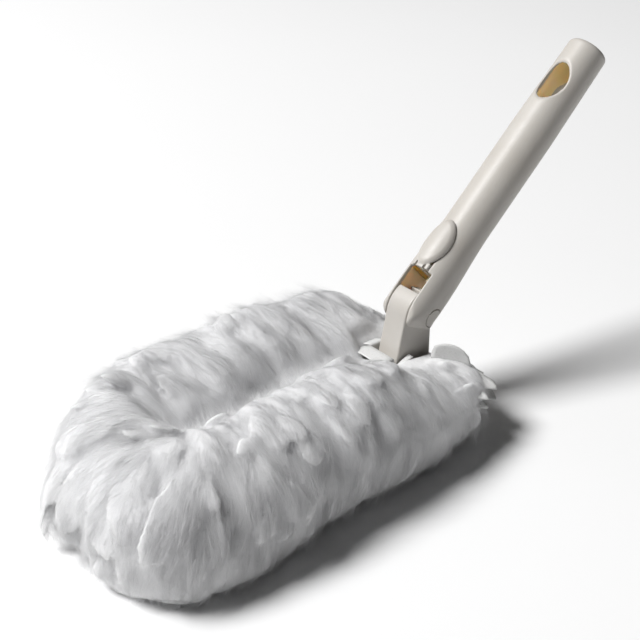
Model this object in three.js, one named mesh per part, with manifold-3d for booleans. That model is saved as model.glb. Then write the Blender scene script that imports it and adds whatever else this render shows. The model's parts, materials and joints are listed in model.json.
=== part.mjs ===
// A disposable duster: a hollow moulded grip that tilts on a toothed neck, a two-pronged fork under
// the neck, and a fluffy refill whose two sleeves slide onto the prongs.
// Millimetres, +Z up. The origin is the middle of the refill's flat underside, the refill's length
// runs along X, and the grip rises from the refill's rear end towards +X.

import * as THREE from 'three';
import { mergeVertices } from 'three/addons/utils/BufferGeometryUtils.js';
import Module from 'manifold-3d';

const wasm = await Module();
wasm.setup();

// Clearances
const FIT_GAP = 0.3; // between pieces that touch or are pressed together
const SWIVEL_GAP = 0.4; // between the neck and each cheek of the grip
const LIFT_GAP = 0.4; // between the button and the grip that it slides on
const GRIP_ROOM = 2.4; // between the fluff and the tilting grip
const NECK_ROOM = 1.5; // between the strips' upper sheet and the neck

// Refill
const HEAD_LENGTH = 210;
const HEAD_WIDTH = 124;
const UPPER_FLUFF = 23; // height of the lobes above the strips
const LOWER_FLUFF = 20; // height of the fluff below the strips
const FLUFF_RIM = 6; // fluff height at the outer edge, above and below the strips
const FLAT_SPREAD = 1.25; // how far the flat underside reaches towards the rim, 1 is round
const VALLEY_FLOOR = 3; // fluff height in the valley between the lobes
const VALLEY_WIDTH = 25; // between the lobes at their base
const VALLEY_SHIFT = 6; // from the middle of the refill to the middle of the valley, towards +Y
const FLUFF_CLOSED = 18; // height of the fluff where the lobes meet at the front end
const VALLEY_START = 32; // from the front end to where the valley begins
const VALLEY_OPENING = 42; // length over which the valley opens to its full depth
const FULL_LOBE_FALL = 80; // from the rear end to where the full lobe starts to slope down
const FULL_FALL_LENGTH = 55;
const SLIM_LOBE_FALL = 47; // from the rear end to where the slim lobe starts to slope down
const SLIM_FALL_LENGTH = 40;
const REAR_SHARE = 0.15; // of a lobe's height, left at the foot of its rear slope
const TIP_SWAY = 9; // how far the fluff's front end is bent towards -Y
const END_WIDTH = 44; // width of the rounded ends
const INNER_LAYER_SHARE = 0.5; // of the fluff's height, for the layer next to the strips
const SHEET_THICKNESS = 0.6;
const STRIP_INSET = 4; // from the fluff's edge to the ends of the strips
const STRIP_REAR_MARGIN = 10; // from the fluff's rear end to the strips' sheets
const STRIP_PITCH = 10; // from one cut strip to the next along the sheet's sides
const STRIP_SLIT = 1.2; // width of the cut between two strips
const SLEEVE_EASE = 2.5; // room beside a prong in its sleeve
const SLEEVE_SLOPE = 3; // width of a sleeve's slanted side
const SLEEVE_SEAM = 6; // flat seam outside each sleeve
const SLEEVE_OVERHANG = 4; // from a prong's tip to its sleeve's front edge
const SLEEVE_SETBACK = 2.3; // from the bridge to the sleeves' rear edge

// Fork
const FORK_THICKNESS = 2.6;
const PRONG_SPACING = 38;
const PRONG_WIDTH = 11;
const PRONG_TIP_WIDTH = 7;
const PRONG_MARGIN = 34; // from the fluff's front end to a prong's tip
const BARB_REACH = 1.4; // how far a retaining barb stands out of a prong
const BARB_LENGTH = 10;
const BARB_SETBACK = 40; // from the prong's tip to the barb's point
const BRIDGE_LENGTH = 26;
const BRIDGE_CORNER = 6;
const TONGUE_LENGTH = 10; // the neck's tongue, seated in the bridge
const TONGUE_SETBACK = 4; // from the pivot to the tongue's rear face

// Neck
const PIVOT_HEIGHT = 48;
const PIVOT_SETBACK = 20; // from the refill's rear end to the pivot
const NECK_WIDTH = 13.4;
const NECK_BACK = 3; // from the pivot to the neck's rear face
const NECK_LEAN_DEG = 12;
const STRIP_RADIUS = 13.8; // the neck's round front, about the pivot
const STRIP_TOP_DEG = 113;
const HUB_RADIUS = 7;
const RATCHET_RADIUS = 9.5;
const NOTCH_DEPTH = 2.5;
const NOTCH_WIDTH = 2.2;
const NOTCH_COUNT = 5;
const NOTCH_PITCH_DEG = 22.5;

// Pivot pin
const PIN_DIAMETER = 6;
const PIN_HEAD_DIAMETER = 9;
const PIN_SEAT_WALL = 1.2; // cheek left under the pin's head and under its ring

// Grip, measured along its axis from the pivot
const GRIP_LIFT_DEG = 43.4;
const GRIP_REACH = 149.6;
const AXIS_OFFSET = 4.1; // from the pivot to the grip's axis
const GRIP_DIAMETER = 22;
const GRIP_END_DIAMETER = 20;
const CHEEK_DIAMETER = 24.4;
const CHEEK_SQUARENESS = 2.2; // superellipse power of the cheeks' section, 2 is round
const FLARE_START = 8;
const FLARE_LENGTH = 40;
const END_TAPER = 50; // length over which the grip narrows to its end
const END_ROUNDING = 1.6;
const GRIP_WALL = 2;
const END_WALL = 2;
const YOKE_MARGIN = 1.5; // from the neck's round front to the bottom of the yoke's slot
const CHEEK_NOSE = 11; // how far the cheeks reach past the pivot
const CHEEK_NOSE_RISE = 8.7; // height of the cheeks' front corner above the pivot line
const CHEEK_BEND = 5; // where the cheeks' front edge starts to round off
const CHEEK_HEEL = 4.4; // how far the cheeks' heel reaches past the pivot
const CHEEK_HEEL_DROP = 5.5;
const NOSE_WIDTH = 16; // across both cheeks at their front corners
const HANG_HOLE_LENGTH = 20;
const HANG_HOLE_WIDTH = 13;
const HANG_HOLE_SETBACK = 24.6; // from the grip's end to the middle of the hole

// Lock
const LOCK_TRAVEL = 2.5;
const SLIDER_WIDTH = 6;
const SLIDER_HEIGHT = 6.4;
const SLIDER_LENGTH = 30.5;
const TOOTH_LENGTH = 3.2;
const TOOTH_THICKNESS = 1.5;
const STEM_SETBACK = 5.8; // from the tooth's tip to the button's stem
const STEM_LENGTH = 14;
const STEM_WIDTH = 4;
const STEM_ROOM = 3; // between the stem and each side of the grip's slot
const BUTTON_LENGTH = 26.5;
const BUTTON_WIDTH = 15;
const BUTTON_HEIGHT = 5.4; // from the button's long edges to its crown
const SPRING_LENGTH = 16;
const SPRING_DIAMETER = 7;
const SPRING_WIRE = 0.9;
const SPRING_TURNS = 7;
const SPRING_PEG_DIAMETER = 4.6;
const SPRING_PEG_LENGTH = 3.5;
const SEAT_THICKNESS = 3;

// Mesh fineness
const ROUND_SIDES = 28;
const GRIP_STEP = 10; // spacing of the grip's sections
const FLUFF_CELLS = 16; // cells across and along each layer of fluff
const CORNER_STEPS = 8; // chords in a plan outline's curve
const SPRING_STEPS = 10; // sections in each turn of the spring
const WIRE_SIDES = 6;
const CUT = 60; // a cutter's reach beyond what it cuts
const CUTTER_SPREAD = 0.02; // how much wider than the fluff its cutter's rim is

// Derived heights and places
const LOWER_STRIP_BASE = LOWER_FLUFF + FIT_GAP;
const SLEEVE_BASE = LOWER_STRIP_BASE + SHEET_THICKNESS + FIT_GAP;
const FORK_BASE = SLEEVE_BASE + SHEET_THICKNESS + FIT_GAP;
const FORK_TOP = FORK_BASE + FORK_THICKNESS;
const UPPER_STRIP_BASE = FORK_TOP + FIT_GAP + SHEET_THICKNESS + FIT_GAP;
const UPPER_FLUFF_BASE = UPPER_STRIP_BASE + SHEET_THICKNESS + FIT_GAP;
const PIVOT_X = HEAD_LENGTH / 2 - PIVOT_SETBACK;
const BRIDGE_REAR = PIVOT_X + NECK_BACK + FIT_GAP;
const BRIDGE_FRONT = BRIDGE_REAR - BRIDGE_LENGTH;
const PRONG_TIP = PRONG_MARGIN - HEAD_LENGTH / 2;
const SHEET_FRONT = PRONG_TIP - SLEEVE_OVERHANG;
const SHEET_REAR = BRIDGE_FRONT - SLEEVE_SETBACK;
const SHEET_LENGTH = SHEET_REAR - SHEET_FRONT;
const STRIP_REAR = HEAD_LENGTH / 2 - STRIP_REAR_MARGIN;
const SLEEVE_ROOM = PRONG_WIDTH / 2 + SLEEVE_EASE;
const SLEEVE_SHEET_HALF = PRONG_SPACING / 2 + SLEEVE_ROOM + SLEEVE_SLOPE + SLEEVE_SEAM;
const NECK_FOOT = FORK_TOP + FIT_GAP - PIVOT_HEIGHT;
const YOKE_WIDTH = NECK_WIDTH + 2 * SWIVEL_GAP;
const YOKE_END = STRIP_RADIUS + YOKE_MARGIN;
const PIN_SEAT = YOKE_WIDTH / 2 + PIN_SEAT_WALL;
const TOOTH_TIP = RATCHET_RADIUS + FIT_GAP;
const SLIDER_END = TOOTH_TIP + SLIDER_LENGTH;
const STEM_START = TOOTH_TIP + STEM_SETBACK;
const BUTTON_MIDDLE = STEM_START + STEM_LENGTH;
const SEAT_START = SLIDER_END + SPRING_LENGTH;

const radians = THREE.MathUtils.degToRad;
const smooth = THREE.MathUtils.smoothstep;
const polar = (radius, angle) => new THREE.Vector2(radius * Math.cos(angle), radius * Math.sin(angle));

// Materials
const ivory = new THREE.MeshStandardMaterial({ color: 0xdbd8d2, roughness: 0.45, metalness: 0 });
const amber = new THREE.MeshStandardMaterial({ color: 0xc8a878, roughness: 0.5, metalness: 0 });
const steel = new THREE.MeshStandardMaterial({ color: 0xb8bcc0, roughness: 0.3, metalness: 1 });
const fluff = new THREE.MeshStandardMaterial({ color: 0xeeeef0, roughness: 1, metalness: 0 });
const nonwoven = new THREE.MeshStandardMaterial({ color: 0xf2f2f2, roughness: 0.9, metalness: 0 });

// Solids and booleans
function signedVolume(positions, index) {
  const corner = (k) => new THREE.Vector3().fromArray(positions, 3 * index[k]);
  let total = 0;
  for (let k = 0; k < index.length; k += 3) {
    total += corner(k).dot(corner(k + 1).cross(corner(k + 2)));
  }
  return total;
}

function solid(geometry) {
  const bare = geometry.clone();
  bare.deleteAttribute('normal');
  bare.deleteAttribute('uv');
  const merged = mergeVertices(bare);
  const vertProperties = new Float32Array(merged.attributes.position.array);
  const triVerts = new Uint32Array(merged.index.array);
  if (signedVolume(vertProperties, triVerts) < 0) triVerts.reverse();
  return new wasm.Manifold(new wasm.Mesh({ numProp: 3, vertProperties, triVerts }));
}

function geometryOf(body) {
  const mesh = body.getMesh();
  const geometry = new THREE.BufferGeometry();
  geometry.setAttribute('position', new THREE.BufferAttribute(mesh.vertProperties, 3));
  geometry.setIndex(new THREE.BufferAttribute(mesh.triVerts, 1));
  geometry.computeVertexNormals();
  return geometry;
}

function piece(name, body, material) {
  const mesh = new THREE.Mesh(geometryOf(body), material);
  mesh.name = name;
  return mesh;
}

function boxBetween(low, high) {
  const size = high.map((value, k) => value - low[k]);
  const middle = high.map((value, k) => (value + low[k]) / 2);
  return solid(new THREE.BoxGeometry(...size).translate(...middle));
}

// A flat outline in X and Z, given a width across Y.
function acrossY(shape, width) {
  const settings = { depth: width, bevelEnabled: false, curveSegments: ROUND_SIDES };
  const geometry = new THREE.ExtrudeGeometry(shape, settings);
  return solid(geometry.rotateX(Math.PI / 2).translate(0, width / 2, 0));
}

// A flat outline in X and Y, given a thickness upwards from a base.
function upFrom(shape, base, thickness) {
  const settings = { depth: thickness, bevelEnabled: false, curveSegments: CORNER_STEPS };
  const geometry = new THREE.ExtrudeGeometry(shape, settings);
  return solid(geometry.translate(0, 0, base));
}

function roundAlongY(radius, low, high) {
  const geometry = new THREE.CylinderGeometry(radius, radius, high - low, ROUND_SIDES);
  return solid(geometry.translate(0, (low + high) / 2, 0));
}

// A turned profile of [radius, place] points, with its axis along X.
function turnedAlongX(profile) {
  const points = profile.map(([radius, place]) => new THREE.Vector2(radius, place));
  return new THREE.LatheGeometry(points, ROUND_SIDES).rotateZ(-Math.PI / 2);
}

// Grip
const flare = (place) => smooth(place, FLARE_START, FLARE_START + FLARE_LENGTH);

function gripRadius(place) {
  const flared = THREE.MathUtils.lerp(CHEEK_DIAMETER, GRIP_DIAMETER, flare(place));
  const taper = THREE.MathUtils.clamp((place - GRIP_REACH + END_TAPER) / END_TAPER, 0, 1);
  return (flared - taper * (GRIP_DIAMETER - GRIP_END_DIAMETER)) / 2;
}

// Squares off the round section towards the cheeks and moves it onto the grip's axis.
function shapedSection(geometry) {
  const at = geometry.attributes.position;
  for (let k = 0; k < at.count; k += 1) {
    const place = at.getX(k);
    const power = THREE.MathUtils.lerp(CHEEK_SQUARENESS, 2, flare(place));
    const turn = Math.atan2(at.getZ(k), at.getY(k));
    const sum = Math.abs(Math.cos(turn)) ** power + Math.abs(Math.sin(turn)) ** power;
    const stretch = sum ** (-1 / power);
    at.setY(k, at.getY(k) * stretch);
    at.setZ(k, at.getZ(k) * stretch + AXIS_OFFSET);
  }
  return geometry;
}

function gripProfile(start, end, inset) {
  const steps = Math.ceil((end - start) / GRIP_STEP);
  const profile = [[0, start]];
  for (let k = 0; k <= steps; k += 1) {
    const place = start + (k * (end - start)) / steps;
    profile.push([gripRadius(place) - inset, place]);
  }
  return profile;
}

// The cheeks' outline from the side: a round nose over the pivot and a slanted heel behind it.
function cheekOutline() {
  const bendHeight = AXIS_OFFSET + CHEEK_DIAMETER / 2 - GRIP_WALL / 2;
  const run = CHEEK_NOSE + CHEEK_BEND;
  const fall = bendHeight - CHEEK_NOSE_RISE;
  const noseRadius = (run * run + fall * fall) / (2 * fall);
  const heelSlope = (CHEEK_NOSE - CHEEK_HEEL) / (CHEEK_NOSE_RISE + CHEEK_HEEL_DROP);
  const outline = new THREE.Shape();
  outline.moveTo(CHEEK_BEND, CUT);
  outline.lineTo(CHEEK_BEND, bendHeight);
  const sweep = Math.asin(run / noseRadius);
  outline.absarc(CHEEK_BEND, bendHeight - noseRadius, noseRadius, Math.PI / 2, Math.PI / 2 + sweep, false);
  outline.lineTo(-CHEEK_HEEL, -CHEEK_HEEL_DROP);
  outline.lineTo(-CHEEK_HEEL + heelSlope * (CUT - CHEEK_HEEL_DROP), -CUT);
  outline.lineTo(GRIP_REACH + CUT, -CUT);
  outline.lineTo(GRIP_REACH + CUT, CUT);
  return outline;
}

function hangHole() {
  const geometry = new THREE.CylinderGeometry(1, 1, 2 * CUT, ROUND_SIDES).rotateX(Math.PI / 2);
  geometry.scale(HANG_HOLE_LENGTH / 2, HANG_HOLE_WIDTH / 2, 1);
  return solid(geometry.translate(GRIP_REACH - HANG_HOLE_SETBACK, 0, 0));
}

// The grip's outside before anything is cut
function gripOutside() {
  const outside = gripProfile(-CHEEK_NOSE - GRIP_STEP, GRIP_REACH - END_ROUNDING, 0);
  outside.push([gripRadius(GRIP_REACH) - END_ROUNDING / 3, GRIP_REACH - END_ROUNDING / 3]);
  outside.push([gripRadius(GRIP_REACH) - END_ROUNDING, GRIP_REACH]);
  outside.push([0, GRIP_REACH]);
  return solid(shapedSection(turnedAlongX(outside)));
}

// The cheeks' outline from above, with the front corners rounded off
function noseOutline() {
  const outline = new THREE.Shape();
  const half = CHEEK_DIAMETER / 2;
  outline.moveTo(GRIP_REACH + CUT, -CUT);
  outline.lineTo(GRIP_REACH + CUT, CUT);
  outline.lineTo(0, CUT);
  outline.lineTo(0, half);
  outline.quadraticCurveTo(-CHEEK_NOSE / 2, half, -CHEEK_NOSE, NOSE_WIDTH / 2);
  outline.lineTo(-CHEEK_NOSE, -NOSE_WIDTH / 2);
  outline.quadraticCurveTo(-CHEEK_NOSE / 2, -half, 0, -half);
  outline.lineTo(0, -CUT);
  return outline;
}

function gripSolid() {
  const bore = gripProfile(YOKE_END, GRIP_REACH - END_WALL, GRIP_WALL);
  bore.push([0, GRIP_REACH - END_WALL]);
  const slotHalf = STEM_WIDTH / 2 + STEM_ROOM;
  const headRoom = PIN_HEAD_DIAMETER / 2 + FIT_GAP;
  const yokeHalf = YOKE_WIDTH / 2;
  const slotStart = YOKE_END - GRIP_WALL;
  const slotEnd = STEM_START + STEM_LENGTH + LOCK_TRAVEL;
  const cuts = [
    solid(shapedSection(turnedAlongX(bore))),
    boxBetween([-CUT, -yokeHalf, -CUT], [YOKE_END, yokeHalf, CUT]),
    boxBetween([slotStart, -slotHalf, AXIS_OFFSET], [slotEnd, slotHalf, CUT]),
    hangHole(),
    roundAlongY(PIN_DIAMETER / 2 + FIT_GAP, -CUT, CUT),
    roundAlongY(headRoom, -CUT, -PIN_SEAT),
    roundAlongY(headRoom, PIN_SEAT, CUT),
  ];
  const nose = upFrom(noseOutline(), -CUT, CUT + GRIP_REACH);
  const body = gripOutside().intersect(acrossY(cheekOutline(), 2 * CUT)).intersect(nose);
  return cuts.reduce((left, cutter) => left.subtract(cutter), body);
}

// Pivot pin with its head in one cheek, and the ring that holds its other end. Both end flush with
// the cheeks.
function pinSolid() {
  const seat = PIN_SEAT + FIT_GAP;
  const shaft = roundAlongY(PIN_DIAMETER / 2, -seat, CUT);
  const head = roundAlongY(PIN_HEAD_DIAMETER / 2, -CUT, -seat);
  return shaft.add(head).intersect(gripOutside());
}

function pinRingSolid() {
  const ring = roundAlongY(PIN_HEAD_DIAMETER / 2, PIN_SEAT + FIT_GAP, CUT);
  return ring.subtract(roundAlongY(PIN_DIAMETER / 2 + FIT_GAP, -CUT, CUT)).intersect(gripOutside());
}

// Lock: a slider with a tooth, its thumb button, its spring and the spring's seat
function alongX(radius, low, high) {
  return solid(turnedAlongX([[0, low], [radius, low], [radius, high], [0, high]]));
}

function sliderSolid() {
  const halfWidth = SLIDER_WIDTH / 2;
  const halfHeight = SLIDER_HEIGHT / 2;
  const halfTooth = TOOTH_THICKNESS / 2;
  const barStart = TOOTH_TIP + TOOTH_LENGTH;
  const parts = [
    boxBetween([TOOTH_TIP, -halfWidth, -halfTooth], [barStart + halfTooth, halfWidth, halfTooth]),
    alongX(SPRING_PEG_DIAMETER / 2, SLIDER_END - halfHeight, SLIDER_END + SPRING_PEG_LENGTH),
  ];
  const bar = boxBetween([barStart, -halfWidth, -halfHeight], [SLIDER_END, halfWidth, halfHeight]);
  return parts.reduce((joined, part) => joined.add(part), bar);
}

// The button is a domed pad that follows the grip, with a stem through the grip's slot to the slider.
function buttonSolid() {
  const radius = gripRadius(BUTTON_MIDDLE);
  const edge = AXIS_OFFSET + Math.sqrt(radius ** 2 - (BUTTON_WIDTH / 2) ** 2);
  const sag = AXIS_OFFSET + radius - edge;
  const domeHalf = BUTTON_LENGTH / 2 / Math.sqrt(1 - (sag / BUTTON_HEIGHT) ** 2);
  const dome = new THREE.SphereGeometry(1, ROUND_SIDES, ROUND_SIDES / 2);
  dome.scale(domeHalf, BUTTON_WIDTH / 2, BUTTON_HEIGHT).translate(BUTTON_MIDDLE, 0, edge);
  const room = gripProfile(-CHEEK_NOSE, GRIP_REACH, -LIFT_GAP);
  room.push([0, GRIP_REACH]);
  const pad = solid(dome).subtract(solid(shapedSection(turnedAlongX(room))));
  const stemBase = SLIDER_HEIGHT / 2 + FIT_GAP;
  const stemTop = AXIS_OFFSET + radius + LIFT_GAP;
  const stemHalf = STEM_WIDTH / 2;
  const stem = boxBetween([STEM_START, -stemHalf, stemBase], [BUTTON_MIDDLE, stemHalf, stemTop]);
  return pad.add(stem);
}

class Coil extends THREE.Curve {
  constructor(radius, start, length, turns) {
    super();
    Object.assign(this, { radius, start, length, turns });
  }

  getPoint(share, target = new THREE.Vector3()) {
    const turn = 2 * Math.PI * this.turns * share;
    const place = this.start + share * this.length;
    return target.set(place, this.radius * Math.cos(turn), this.radius * Math.sin(turn));
  }
}

function springSolid() {
  const wire = new THREE.Shape().absarc(0, 0, SPRING_WIRE / 2, 0, 2 * Math.PI, false);
  const inset = FIT_GAP + SPRING_WIRE / 2;
  const radius = (SPRING_DIAMETER - SPRING_WIRE) / 2;
  const path = new Coil(radius, SLIDER_END + inset, SPRING_LENGTH - 2 * inset, SPRING_TURNS);
  const steps = SPRING_STEPS * SPRING_TURNS;
  const settings = { steps, curveSegments: WIRE_SIDES / 2, extrudePath: path };
  return solid(new THREE.ExtrudeGeometry(wire, settings));
}

function seatSolid() {
  const rim = gripProfile(SEAT_START, SEAT_START + SEAT_THICKNESS, GRIP_WALL + FIT_GAP);
  rim.push([0, SEAT_START + SEAT_THICKNESS]);
  const plug = solid(shapedSection(turnedAlongX(rim)));
  const pegEnd = SEAT_START + SEAT_THICKNESS / 2;
  return plug.add(alongX(SPRING_PEG_DIAMETER / 2, SEAT_START - SPRING_PEG_LENGTH, pegEnd));
}

// Neck, drawn from the side about the pivot
function addNotch(outline, angle) {
  const along = polar(1, angle);
  const half = NOTCH_WIDTH / 2;
  const root = RATCHET_RADIUS - NOTCH_DEPTH;
  const crest = Math.sqrt(RATCHET_RADIUS ** 2 - half ** 2);
  for (const [reach, side] of [[crest, -half], [root, -half], [root, half], [crest, half]]) {
    outline.lineTo(reach * along.x - side * along.y, reach * along.y + side * along.x);
  }
}

function neckOutline() {
  const pitch = radians(NOTCH_PITCH_DEG);
  const middle = radians(GRIP_LIFT_DEG);
  const firstNotch = middle - ((NOTCH_COUNT - 1) / 2) * pitch;
  const lean = Math.PI - radians(NECK_LEAN_DEG);
  const stripTop = radians(STRIP_TOP_DEG);
  const hubStart = -Math.acos(NECK_BACK / HUB_RADIUS);
  const ratchetStart = firstNotch - pitch / 2;
  const frontFall = STRIP_RADIUS * Math.sin(lean) - NECK_FOOT;
  const outline = new THREE.Shape();
  outline.absarc(0, 0, HUB_RADIUS, hubStart, ratchetStart, false);
  const corner = polar(RATCHET_RADIUS, ratchetStart);
  outline.lineTo(corner.x, corner.y);
  for (let k = 0; k < NOTCH_COUNT; k += 1) {
    addNotch(outline, firstNotch + k * pitch);
  }
  const step = polar(RATCHET_RADIUS, stripTop);
  outline.lineTo(step.x, step.y);
  outline.absarc(0, 0, STRIP_RADIUS, stripTop, lean, false);
  outline.lineTo(STRIP_RADIUS * Math.cos(lean) - frontFall * Math.tan(radians(NECK_LEAN_DEG)), NECK_FOOT);
  outline.lineTo(NECK_BACK, NECK_FOOT);
  outline.closePath();
  return outline;
}

function neckSolid() {
  const tongueHalf = NECK_WIDTH / 2;
  const tongue = boxBetween(
    [-TONGUE_SETBACK - TONGUE_LENGTH, -tongueHalf, FORK_BASE - PIVOT_HEIGHT],
    [-TONGUE_SETBACK, tongueHalf, NECK_FOOT + FIT_GAP],
  );
  const bore = roundAlongY(PIN_DIAMETER / 2 + FIT_GAP, -CUT, CUT);
  return acrossY(neckOutline(), NECK_WIDTH).subtract(bore).add(tongue);
}

// Fork: a bridge under the neck with two tapered prongs
function forkOutline() {
  const outside = (PRONG_SPACING + PRONG_WIDTH) / 2;
  const inside = (PRONG_SPACING - PRONG_WIDTH) / 2;
  const tipOutside = (PRONG_SPACING + PRONG_TIP_WIDTH) / 2;
  const tipRadius = PRONG_TIP_WIDTH / 2;
  const taper = (tipOutside - outside) / (BRIDGE_FRONT - PRONG_TIP);
  const edge = (x) => outside + taper * (BRIDGE_FRONT - x);
  const barbPoint = PRONG_TIP + BARB_SETBACK;
  const outline = new THREE.Shape();
  const sides = [1, -1];
  outline.moveTo(BRIDGE_REAR, BRIDGE_CORNER - outside);
  for (const side of sides) {
    const rows = [
      [BRIDGE_REAR, side * (outside - BRIDGE_CORNER)],
      [BRIDGE_REAR - BRIDGE_CORNER, side * outside],
      [BRIDGE_FRONT, side * outside],
      [barbPoint + BARB_LENGTH, side * edge(barbPoint + BARB_LENGTH)],
      [barbPoint, side * (edge(barbPoint) + BARB_REACH)],
      [barbPoint - BARB_LENGTH / 2, side * edge(barbPoint - BARB_LENGTH / 2)],
      [PRONG_TIP + tipRadius, side * tipOutside],
      [PRONG_TIP, side * (PRONG_SPACING + tipRadius) / 2],
      [PRONG_TIP, side * (PRONG_SPACING - tipRadius) / 2],
      [PRONG_TIP + tipRadius, side * (PRONG_SPACING - PRONG_TIP_WIDTH) / 2],
      [BRIDGE_FRONT, side * inside],
    ];
    if (side < 0) rows.reverse();
    rows.forEach(([x, y]) => outline.lineTo(x, y));
  }
  return outline;
}

function forkSolid() {
  const room = NECK_WIDTH / 2 + FIT_GAP;
  const tongueRear = PIVOT_X - TONGUE_SETBACK + FIT_GAP;
  const slot = boxBetween([tongueRear - TONGUE_LENGTH - 2 * FIT_GAP, -room, -CUT], [tongueRear, room, CUT]);
  return upFrom(forkOutline(), FORK_BASE, FORK_THICKNESS).subtract(slot);
}

// Refill sheets: two that form the sleeves, and one cut into strips on each side of them
function sleeveBottomSolid() {
  const half = SLEEVE_SHEET_HALF;
  return boxBetween([SHEET_FRONT, -half, SLEEVE_BASE], [SHEET_REAR, half, SLEEVE_BASE + SHEET_THICKNESS]);
}

function sleeveTopSolid() {
  const seam = FORK_BASE;
  const roof = FORK_TOP + FIT_GAP;
  const foot = SLEEVE_ROOM + SLEEVE_SLOPE;
  const rise = [-SLEEVE_SHEET_HALF];
  for (const middle of [-PRONG_SPACING / 2, PRONG_SPACING / 2]) {
    rise.push(middle - foot, middle - SLEEVE_ROOM, middle + SLEEVE_ROOM, middle + foot);
  }
  rise.push(SLEEVE_SHEET_HALF);
  const high = [false, false, true, true, false, false, true, true, false, false];
  const under = rise.map((y, k) => new THREE.Vector2(y, high[k] ? roof : seam));
  const over = under.map((point) => new THREE.Vector2(point.x, point.y + SHEET_THICKNESS));
  const section = new THREE.Shape([...under, ...over.reverse()]);
  const geometry = new THREE.ExtrudeGeometry(section, { depth: SHEET_LENGTH, bevelEnabled: false });
  geometry.rotateX(Math.PI / 2).rotateZ(Math.PI / 2);
  return solid(geometry.translate(SHEET_FRONT, 0, 0));
}

// One side's strips, from the front to the rear, as points of the sheet's outline. The strips start
// beside the sleeves and end short of the fluff's edge.
function stripRow(side) {
  const count = Math.floor((STRIP_REAR - SHEET_FRONT) / STRIP_PITCH);
  const root = side * SLEEVE_SHEET_HALF;
  const row = [];
  for (let k = 0; k < count; k += 1) {
    const start = SHEET_FRONT + k * STRIP_PITCH;
    const end = k === count - 1 ? STRIP_REAR : start + STRIP_PITCH - STRIP_SLIT;
    const along = (start + end) / HEAD_LENGTH;
    const reach = side * (planWidth(along) / 2 - STRIP_INSET) + tipSway(along);
    row.push([start, root], [start, reach], [end, reach], [end, root]);
  }
  return row;
}

function stripSheetSolid(base) {
  const outline = new THREE.Shape();
  outline.moveTo(SHEET_FRONT, 0);
  stripRow(-1).forEach(([x, y]) => outline.lineTo(x, y));
  stripRow(1).reverse().forEach(([x, y]) => outline.lineTo(x, y));
  return upFrom(outline, base, SHEET_THICKNESS);
}

function upperStripSolid() {
  const half = NECK_WIDTH / 2 + NECK_ROOM;
  const slot = boxBetween([SHEET_REAR, -half, 0], [HEAD_LENGTH, half, PIVOT_HEIGHT]);
  return stripSheetSolid(UPPER_STRIP_BASE).subtract(slot);
}

// Refill fluff: pillow-shaped layers over the strips, with a full and a slim lobe and a valley on top
// Places in the plan are shares from -1 to 1 of the half length and the half width.
function planWidth(along) {
  return THREE.MathUtils.lerp(END_WIDTH, HEAD_WIDTH, Math.sqrt(1 - Math.abs(along) ** 3));
}

function endFall(along) {
  return Math.sqrt(1 - Math.abs(along) ** 5);
}

// How far the fluff lies to one side of the refill's middle
function tipSway(along) {
  return -TIP_SWAY * ((1 - along) / 2) ** 2;
}

// The lobes slope down beside the neck, the full one on the -Y side earlier than the slim one.
function rearFall(fromFront, across) {
  const start = HEAD_LENGTH - (across < 0 ? FULL_LOBE_FALL : SLIM_LOBE_FALL);
  const length = across < 0 ? FULL_FALL_LENGTH : SLIM_FALL_LENGTH;
  return THREE.MathUtils.lerp(1, REAR_SHARE, smooth(fromFront, start, start + length));
}

function lobeHeight(along, across) {
  const fromFront = ((along + 1) * HEAD_LENGTH) / 2;
  const open = smooth(fromFront, VALLEY_START, VALLEY_START + VALLEY_OPENING);
  const floor = THREE.MathUtils.lerp(FLUFF_CLOSED, VALLEY_FLOOR, open);
  const lobeStart = (VALLEY_WIDTH + 2 * Math.sign(across) * VALLEY_SHIFT) / HEAD_WIDTH;
  const overLobe = (2 * Math.abs(across) - 1 - lobeStart) / (1 - lobeStart);
  const round = Math.sqrt(Math.max(0, 1 - overLobe ** 2));
  const low = overLobe < 0 ? floor : FLUFF_RIM;
  const height = Math.max(low, low + (UPPER_FLUFF - low) * round);
  const fall = endFall(along) * rearFall(fromFront, across);
  return FLUFF_RIM / 2 + (height - FLUFF_RIM / 2) * fall;
}

// The underside is flat in the middle and rounds up to the rim.
function lowerDepth(along, across) {
  const side = Math.sqrt(1 - Math.abs(across) ** 3);
  return FLUFF_RIM + (LOWER_FLUFF - FLUFF_RIM) * Math.min(1, FLAT_SPREAD * side * endFall(along));
}

// A closed layer between two height functions over the refill's rounded plan. A cutter's rim is
// spread outwards, so that it passes through the sides of what it cuts.
function layer(low, high, spread = 0) {
  const geometry = new THREE.BoxGeometry(2, 2, 2, FLUFF_CELLS, FLUFF_CELLS, 1);
  const at = geometry.attributes.position;
  for (let k = 0; k < at.count; k += 1) {
    const along = at.getX(k);
    const across = at.getY(k);
    const reach = Math.max(Math.abs(along), Math.abs(across)) === 1 ? 1 + spread : 1;
    at.setZ(k, at.getZ(k) > 0 ? high(along, across) : low(along, across));
    at.setX(k, (reach * along * HEAD_LENGTH) / 2);
    at.setY(k, (reach * across * planWidth(along)) / 2 + tipSway(along));
  }
  return solid(geometry);
}

// Room behind the strips' rear edge for the neck and the tilting grip
function neckRoom() {
  const half = CHEEK_DIAMETER / 2 + GRIP_ROOM;
  return boxBetween([SHEET_REAR, -half, 0], [HEAD_LENGTH, half, PIVOT_HEIGHT + UPPER_FLUFF]);
}

const level = (height) => () => height;

function upperSurface(share, gap) {
  return (along, across) => UPPER_FLUFF_BASE + share * lobeHeight(along, across) + gap;
}

function lowerSurface(share, gap) {
  return (along, across) => LOWER_FLUFF - share * lowerDepth(along, across) - gap;
}

function upperInnerSolid() {
  return layer(level(UPPER_FLUFF_BASE), upperSurface(INNER_LAYER_SHARE, 0)).subtract(neckRoom());
}

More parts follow.
